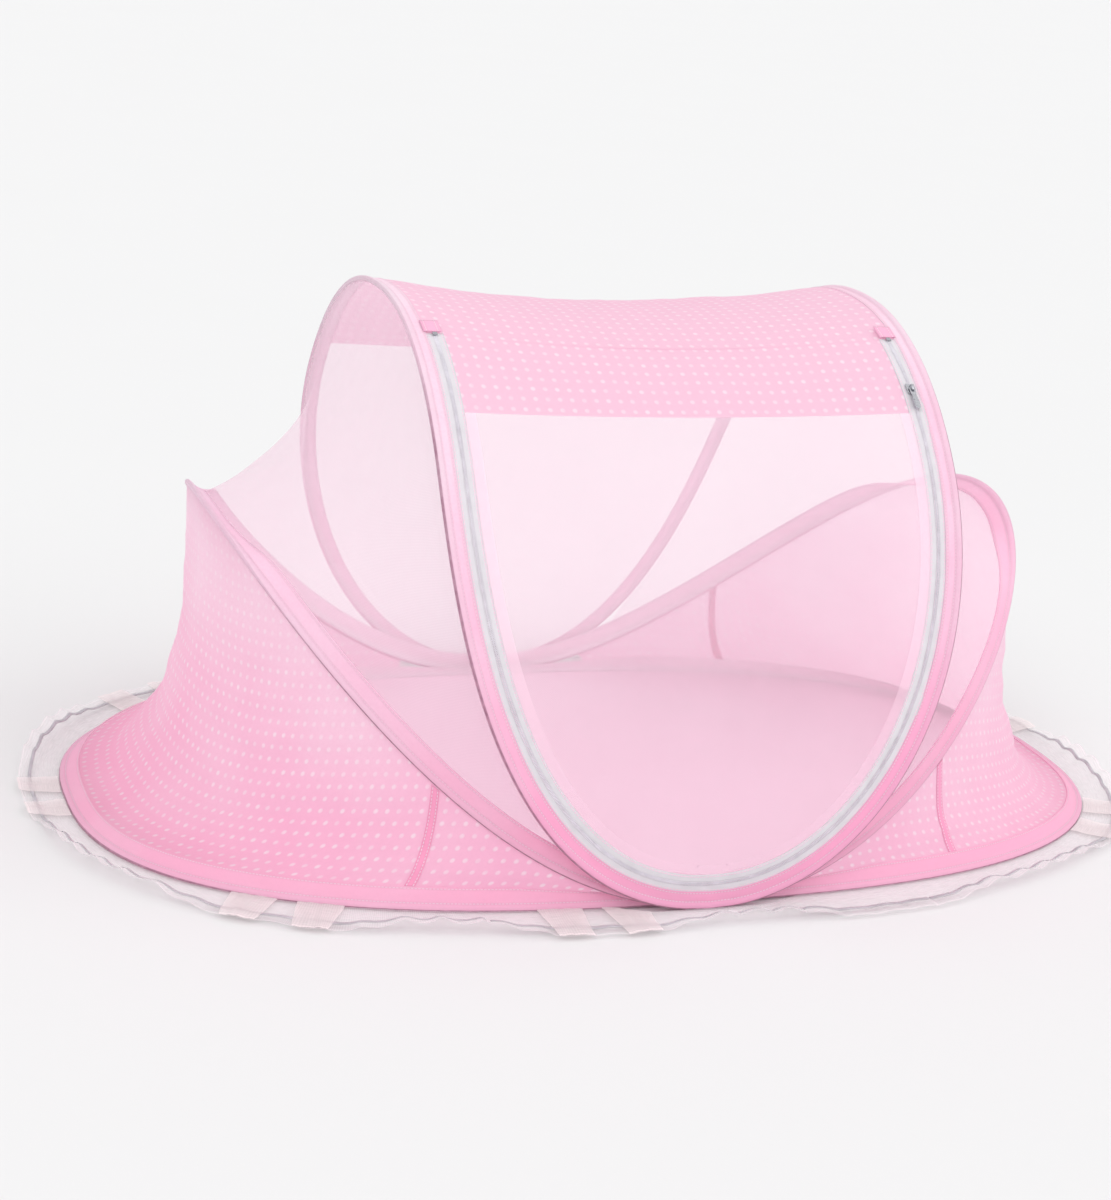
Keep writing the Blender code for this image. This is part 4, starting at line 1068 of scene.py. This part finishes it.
def seam_tapes(side, word, grid, shader):
    """The two sewn tapes that run down an end panel. Gives back their names."""
    normals = grid_normals(grid)
    names = []
    total = len(grid) - 1
    across = np.linspace(0, SEAM_WIDTH, 7)
    near, far = (station("base", side, SEAM_STATION + k)[0] for k in (0, 1))
    span = np.linalg.norm(near - far)
    for place, at_rear in (("front", False), ("rear", True)):
        rows = []
        for j in range(1, grid.shape[1] - 1):
            lean = SEAM_LEAN * j / (grid.shape[1] - 1)
            row = []
            for offset in across / span:
                k = SEAM_STATION + SEAM_START + lean + offset
                where = total * (k - END_ENDS[0]) / (END_ENDS[1] - END_ENDS[0])
                where = total - where if at_rear else where
                i = int(where)
                point = grid[i, j] * (i + 1 - where) + grid[i + 1, j] * (where - i)
                normal = normals[i, j] * (1 if normals[i, j][0] * side > 0 else -1)
                row.append(point + normal * 0.0006)
            rows.append(row)
        rows = np.array(rows)
        made = grid_sheet(f"seam_{place}_{word}", rows, strip_uv(rows, across), shader,
                          f"{word}_end", thickness=0.0004, node=f"seam_tape_{place}_{word}")
        names.append(made.name)
    return names


def floor_cloth(side, word, shader):
    """Half of the floor, out to the base sleeve, with soft folds."""
    outline = []
    for k in np.linspace(0, STATIONS, 121):
        point, along, _ = station("base", side, k)
        outline.append(point - unit(np.cross(along, (0, 0, 1)) * side) * SLEEVE_CLEAR)
    near = np.array(outline[:61])[:, None]
    far = np.array(outline[:59:-1])[:, None]
    share = np.linspace(0, 1, 61)[:, None]
    grid = near * (1 - share) + far * share
    grid[..., 2] = GROUND_LIFT
    grid[:, (0, -1), 2] = WIRE_Z
    grid[-1, :, 2] = WIRE_Z
    uv = grid[..., :2].copy()
    hold = pinned(grid, 0.5)
    hold[0] = hold[1]
    folds = ripples(uv[..., 0] * 9, uv[..., 1] * 9, 21.0)
    grid[..., 2] += FLOOR_FOLD * hold * np.maximum(folds + 0.35, 0)
    made = grid_sheet(f"floor_cloth_{word}", grid, uv, shader, f"{word}_end", node=f"floor_{word}")
    declare(grid)


# Flounce
def flounce_edge(side, front, s):
    """Where the flounce is sewn on, the way it lies and its width there."""
    point = base_point(side, front, s)
    outward = unit(np.cross((0, 0, 1), tangent(base_point, side, front, s)) * side * front)
    near_crossing = smooth((CROSSING_CLEAR - abs(point[0])) / CROSSING_BLEND)
    past_hoops = (CANOPY_HALF_WIDTH - abs(point[1])) * near_crossing
    width = FLOUNCE_WIDTH - past_hoops - (FLOUNCE_WIDTH - FLOUNCE_END_WIDTH) * end_share(point)
    return point + outward * (SLEEVE_CLEAR + past_hoops), outward, width


def slack(point):
    """How far a point of the base is from the nearest pair of pleats: 0 at a pair, 1 between two."""
    nearest = min(((point[0] - x) ** 2 + (point[1] - y) ** 2) ** 0.5 for x, y in PLEAT_PAIRS)
    return smooth((nearest - 0.040) / 0.085)


class FlounceRun:
    """One piece of the flounce: where it lies at a distance along the base and a share of its width."""

    def __init__(self, places, seed):
        self.edges = [flounce_edge(*place) for place in places]
        self.base = np.array([base_point(*place) for place in places])
        self.run = lengths(self.base)
        self.length = float(self.run[-1])
        self.slack = [slack(point) for point in self.base]
        self.seed = seed

    def place(self, at, share, lift=0.0):
        k = int(round(float(np.interp(at, self.run, range(len(self.run))))))
        point, outward, width = self.edges[k]
        loose = self.slack[k]
        quick = 2 * pi * at / FOLD_PITCH + 2.4 * ripple(at * 11, 0.0, self.seed)
        gather = GATHER_HEIGHT * sin(2 * pi * at / GATHER_PITCH) * (1 - share) * min(share * 6, 1.0)
        fold = FOLD_HEIGHT * (0.5 + 0.5 * sin(quick)) * (0.25 + 0.75 * loose)
        uneven = UNEVEN_RISE * max(ripple(at * 9, share, self.seed) + 0.4, 0.0)
        height = HEM_RISE + LOOSE_RISE * loose + fold + uneven
        sewn = (point[2] - 0.0015) * (1 - share) ** 2
        z = GROUND_LIFT + sewn + height * share ** 1.3 + max(gather, 0.0) + lift
        sway = np.cross(outward, (0, 0, 1.0)) * SWAY * share ** 1.3 * cos(quick)
        spot = point + outward * width * share * (1 - 0.10 * loose) + sway
        return (spot[0], spot[1], z)

    def grid(self, shares, lift=0.0, trim=0.0):
        """A grid of points over the whole piece, and its UVs: metres along and the share across."""
        along = np.linspace(trim, self.length - trim, int(self.length / FLOUNCE_STEP) + 1)
        grid = [[self.place(at, share, lift) for share in shares] for at in along]
        uv = [[(at * CLOTH_PER_RUN, share) for share in shares] for at in along]
        return np.array(grid), np.array(uv)

    def pleats(self):
        """Middles of this piece's pleats, in pairs."""
        found = []
        room = PLEAT_APART / 2 + PLEAT_TOP_HALF
        for pair in PLEAT_PAIRS:
            away = np.linalg.norm(self.base[:, :2] - pair, axis=1)
            middle = self.run[int(away.argmin())]
            if away.min() < 0.03 and room < middle < self.length - room:
                found += [middle - PLEAT_APART / 2, middle + PLEAT_APART / 2]
        return found


def pleat_tab(name, piece, middle, shader, body):
    """A box pleat: the voile lies three deep, pressed flat and narrower at the hem."""
    grid, uv = [], []
    for q in np.linspace(-1, 1, 17):
        for share in np.linspace(0.02, 1.04, 16):
            half = PLEAT_TOP_HALF + (PLEAT_HEM_HALF - PLEAT_TOP_HALF) * share
            fold = 0.0007 * (1 - q ** 8) + 0.0006 * abs(sin(1.5 * pi * q))
            fold += 0.0004 * ripple(q * 2, share * 3, 7.0)
            grid.append(piece.place(middle + q * half, share, 0.0009 + fold))
            uv.append((q * half, share * 0.985))
    grid = np.array(grid).reshape(17, 16, 3)
    made = grid_sheet(name, grid, np.array(uv), shader, body)
    declare(grid, spare=1.1)


def flounces(voile, pleat, ribbon):
    """The gathered flounce in four pieces, each with its ribbon and its pairs of pleats."""
    meeting = float(np.arcsin((FLOUNCE_CENTRE_HALF / BASE_HALF_LENGTH) ** (BASE_SQUARENESS / 2)))
    inner = np.linspace(0, meeting, 900)
    outer = np.linspace(meeting, pi / 2, 900)
    pieces = []
    for side, word in SIDES:
        places = [(side, -1, s) for s in outer] + [(side, 1, s) for s in outer[-2::-1]]
        pieces.append((word, places, f"{word}_end", f"base_casing_{word}"))
    for front, word in ((-1, "front"), (1, "rear")):
        places = [(-1, front, s) for s in inner[::-1]] + [(1, front, s) for s in inner[1:]]
        pieces.append((word, places, "canopy", "canopy_casing"))
    ribbon_shares = np.linspace(RIBBON_PLACE, RIBBON_PLACE + RIBBON_WIDTH / FLOUNCE_WIDTH, 4)
    for number, (word, places, body, sewn_to) in enumerate(pieces):
        piece = FlounceRun(places, 31.0 + number)
        grid, uv = piece.grid(np.linspace(0, 1, 15))
        made = grid_sheet(f"ruffle_{word}", grid, uv, voile, body, node=f"flounce_{word}")
        line, line_uv = piece.grid(ribbon_shares, lift=0.0010, trim=0.002)
        line_uv[..., 1] *= RIBBON_WIDTH
        trim = grid_sheet(f"ribbon_line_{word}", line, line_uv, ribbon, body,
                          thickness=0.0003, node=f"ribbon_{word}")
        declare(grid, spare=1.25, with_pieces=[trim])
        for k, middle in enumerate(piece.pleats()):
            pleat_tab(f"pleat_{word}_{k}", piece, middle, pleat, body)


# Slider and pull
def mirrored(half, middle=()):
    """A symmetric list of points from one half of it, with any that lie on the middle line."""
    return [*half, *middle, *((-x, y) for x, y in half[::-1])]


def rounded(corners, radius):
    """A polygon with its corners rounded off."""
    points = []
    corners = [np.array(corner) for corner in corners]
    for before, corner, after in zip(corners[-1:] + corners[:-1], corners, corners[1:] + corners[:1]):
        start, stop = (corner + unit(other - corner) * min(radius, np.linalg.norm(other - corner) / 2)
                       for other in (before, after))
        for t in np.linspace(0, 1, 5):
            points.append(start * (1 - t) ** 2 + corner * 2 * t * (1 - t) + stop * t * t)
    return points


def plate_mesh(loops, thickness, bevel):
    """A flat plate with rounded edges. The first loop is its outline, and the others are holes."""
    curve = bpy.data.curves.new("plate", "CURVE")
    curve.dimensions = "2D"
    curve.fill_mode = "BOTH"
    curve.extrude = thickness / 2 - bevel
    curve.bevel_depth = bevel
    curve.offset = -bevel
    curve.bevel_resolution = 2
    for loop in loops:
        spline = curve.splines.new("POLY")
        spline.points.add(len(loop) - 1)
        for point, (x, y) in zip(spline.points, loop):
            point.co = (x, y, 0, 1)
        spline.use_cyclic_u = True
    holder = add("plate", curve)
    depsgraph = bpy.context.evaluated_depsgraph_get()
    mesh = bpy.data.meshes.new_from_object(holder.evaluated_get(depsgraph))
    bpy.data.objects.remove(holder)
    bpy.data.curves.remove(curve)
    return mesh


def strap_mesh(path, half_width, half_thickness):
    """A rounded strap along points (y, z), across X."""
    path = np.array(path)
    corners = 12
    vertices = []
    for k, point in enumerate(path):
        forward = unit(path[min(k + 1, len(path) - 1)] - path[max(k - 1, 0)])
        normal = np.array((-forward[1], forward[0]))
        for angle in np.linspace(0, 2 * pi, corners + 1)[:-1]:
            c, s = cos(angle), sin(angle)
            y, z = point + normal * half_thickness * np.sign(s) * abs(s) ** 0.5
            vertices.append((half_width * np.sign(c) * abs(c) ** 0.5, y, z))
    mesh = bpy.data.meshes.new("strap")
    mesh.from_pydata(vertices, [], tube_faces(0, len(path), corners))
    turn_outwards(mesh)
    return mesh


def metal_object(name, parts, centre, ahead, out, shader, body, node):
    """Joins meshes, each with its height above the zip, into one object that lies along the zip."""
    work = bmesh.new()
    for mesh, height in parts:
        mesh.transform(Matrix.Translation((0, 0, height)))
        work.from_mesh(mesh)
        bpy.data.meshes.remove(mesh)
    turn = Matrix([Vector(axis) for axis in (np.cross(ahead, out), ahead, out)]).transposed()
    work.transform(Matrix.Translation(Vector(centre)) @ turn.to_4x4())
    mesh = bpy.data.meshes.new(name)
    work.to_mesh(mesh)
    work.free()
    mesh.materials.append(shader)
    mesh.shade_smooth()
    mesh.set_sharp_from_angle(angle=radians(35))
    assign(add(name, mesh), body, node)


def slider(zinc):
    """The slider's body with its side flanges and bail, and the pull tab that hangs from it."""
    out = unit(np.array((0.0, SLIDER_CENTRE[1] - TRACK_CENTRE[1], SLIDER_CENTRE[2] - TRACK_CENTRE[2])))
    ahead = np.array((0.0, out[2], -out[1]))
    left = [(-0.0035, -0.0062), (-0.0047, -0.0012), (-0.0047, 0.0062), (-0.0014, 0.0062)]
    shield = rounded(mirrored(left, [(0, 0.0050)]), 0.0010)
    middle = (PLATE_HIGH + PLATE_LOW) / 2
    parts = [(plate_mesh([shield], PLATE_HIGH - PLATE_LOW, bevel=0.00030), height)
             for height in (middle, -middle)]
    web = strap_mesh([(-0.0050, 0), (0.0050, 0)], half_width=0.0004, half_thickness=PLATE_LOW + 0.0001)
    parts.append((web, 0.0))
    rail = ((0.0046, -0.0014), (0.0046, 0.0046), (0.0038, 0.0046), (0.0038, -0.0014))
    for side in (-1, 1):
        outline = rounded([(side * x, y) for x, y in rail], 0.0003)
        parts.append((plate_mesh([outline], thickness=0.0010, bevel=0.00015), PLATE_LOW - 0.0003))
    leg = [(-0.0030, -0.0003), (-0.0031, 0.0014), (-0.0027, 0.0026), (-0.0016, BAIL_HEIGHT - 0.0004)]
    arch = mirrored(leg, [(0, BAIL_HEIGHT - 0.0003)])
    parts.append((strap_mesh(arch, half_width=0.0008, half_thickness=0.00045), PLATE_HIGH))
    metal_object("slider_body", parts, SLIDER_CENTRE, ahead, out, zinc, "slider", "zip_slider")

    tab = rounded(mirrored([(0.0031, -0.0006), (0.0030, 0.0062), (0.0022, 0.0082), (0.0030, 0.0130),
                            (0.0032, 0.0225), (0.0018, PULL_LENGTH)]), 0.0016)
    eye = rounded(mirrored([(0.0015, 0.0006), (0.0015, 0.0050)]), 0.0007)
    field = rounded(mirrored([(0.0019, 0.0125), (0.0021, 0.0222), (0.0010, 0.0240)]), 0.0009)
    parts = [(plate_mesh([tab, eye], PULL_THICKNESS, bevel=0.00028), 0.0),
             (plate_mesh([field], thickness=0.0004, bevel=0.00012), PULL_THICKNESS / 2 + 0.0001)]
    pivot = np.array(SLIDER_CENTRE) + out * PULL_RISE
    metal_object("pull_plate", parts, pivot, -ahead, out, zinc, "pull", "pull_tab")


def metal_parts():
    """Better metal on the wires and zip stops, and a detailed slider and pull."""
    steel = plated("wire_steel", STEEL, roughness=0.35)
    zinc = plated("zip_zinc", ZINC, roughness=0.26)
    for name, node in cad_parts.items():
        for word, metal in (("wire", steel), ("ferrule", steel), ("zip_stop", zinc)):
            if word in name:
                node.data.materials.clear()
                node.data.materials.append(metal)
    slider(zinc)


# Stage, light and camera
def camera():
    data = bpy.data.cameras.new("camera")
    data.sensor_fit = "VERTICAL"
    data.sensor_height = 36.0
    data.lens = CAMERA_LENS
    data.clip_start = 0.05
    data.clip_end = 200.0
    level = cos(CAMERA_ELEVATION)
    ahead = Vector((sin(CAMERA_AZIMUTH) * level, cos(CAMERA_AZIMUTH) * level, -sin(CAMERA_ELEVATION)))
    right = ahead.cross(Vector((0, 0, 1))).normalized()
    up = right.cross(ahead)
    tilted_right = right * cos(CAMERA_ROLL) + up * sin(CAMERA_ROLL)
    tilted_up = up * cos(CAMERA_ROLL) - right * sin(CAMERA_ROLL)
    turn = Matrix((tilted_right, tilted_up, -ahead)).transposed()
    made = add("camera", data)
    made.matrix_world = Matrix.Translation(CAMERA_PLACE) @ turn.to_4x4()
    bpy.context.scene.camera = made


def sun(name, place, energy, softness):
    """A soft distant lamp that shines from a place towards the tent."""
    data = bpy.data.lights.new(name, "SUN")
    data.energy = energy
    data.angle = radians(softness)
    add(name, data).rotation_euler = (-Vector(place)).to_track_quat("-Z", "Y").to_euler()


def studio_world():
    """Plain light from all round, and for the eye the white of the floor."""
    world = Shader("studio", "worlds")
    light = world.fill(world.nodes["Background"], Color=(1.0, 1.0, 1.0), Strength=WORLD_LIGHT)
    seen = world.node("Background", (SEEN_WHITE, SEEN_WHITE, SEEN_WHITE), 1.0)
    path = world.node("LightPath").outputs
    eye = world.most(path["Is Camera Ray"], path["Is Glossy Ray"])
    shown = world.mix(eye, light.outputs[0], seen.outputs[0])
    world.links.new(shown, world.nodes["World Output"].inputs[0])
    bpy.context.scene.world = world.made


def stage():
    """A wide pale floor, plain light from all round and two soft lamps."""
    shader = Shader("studio_floor")
    tone = shader.patches(shader.object_place(), 2.0, 2.0)
    shader.set(Base_Color=shader.blend(tone, darker(FLOOR_WHITE, 0.996), FLOOR_WHITE), Roughness=0.9)
    corners = 64
    angles = [2 * pi * k / corners for k in range(corners)]
    mesh = bpy.data.meshes.new("studio_floor")
    mesh.from_pydata([(FLOOR_REACH * cos(a), FLOOR_REACH * sin(a), 0) for a in angles], [],
                     [tuple(range(corners))])
    mesh.materials.append(shader.made)
    floor = add("studio_floor", mesh)
    floor.location = (0, 0, -FLOOR_DROP)
    studio_world()
    sun("key", (-1.4, -1.6, 2.3), KEY_LIGHT, softness=35)
    sun("fill", (1.8, -1.2, 1.5), FILL_LIGHT, softness=60)
    bpy.context.scene.view_settings.view_transform = "Standard"


def build():
    dotted = dotted_cloth("dotted_cloth", DOTTED)
    roof = dotted_cloth("dotted_roof_cloth", ROOF)
    net = net_cloth("fine_net", NET, solid=0.38)
    hem = net_cloth("net_hem", NET_HEM, solid=0.60, fade=(0.05, 0.30))
    patch = plain_cloth("patch_cloth", PATCH, (0.0025, 0.0135))
    floor = plain_cloth("floor_cloth", FLOOR_CLOTH)
    tape = plain_cloth("seam_tape_cloth", SEAM_TAPE, (0.0018, 0.0082))
    zips()
    sleeves()
    canopy_panels(roof, net, hem, patch)
    for side, word in SIDES:
        side_mesh(side, word, net)
        end_cloth(side, word, dotted, tape)
        floor_cloth(side, word, floor)
    flounces(voile_cloth("voile", VOILE, solid=0.34),
             voile_cloth("pleated_voile", PLEAT, solid=0.62), ribbon_cloth("satin_ribbon"))
    metal_parts()


build()
stage()
camera()
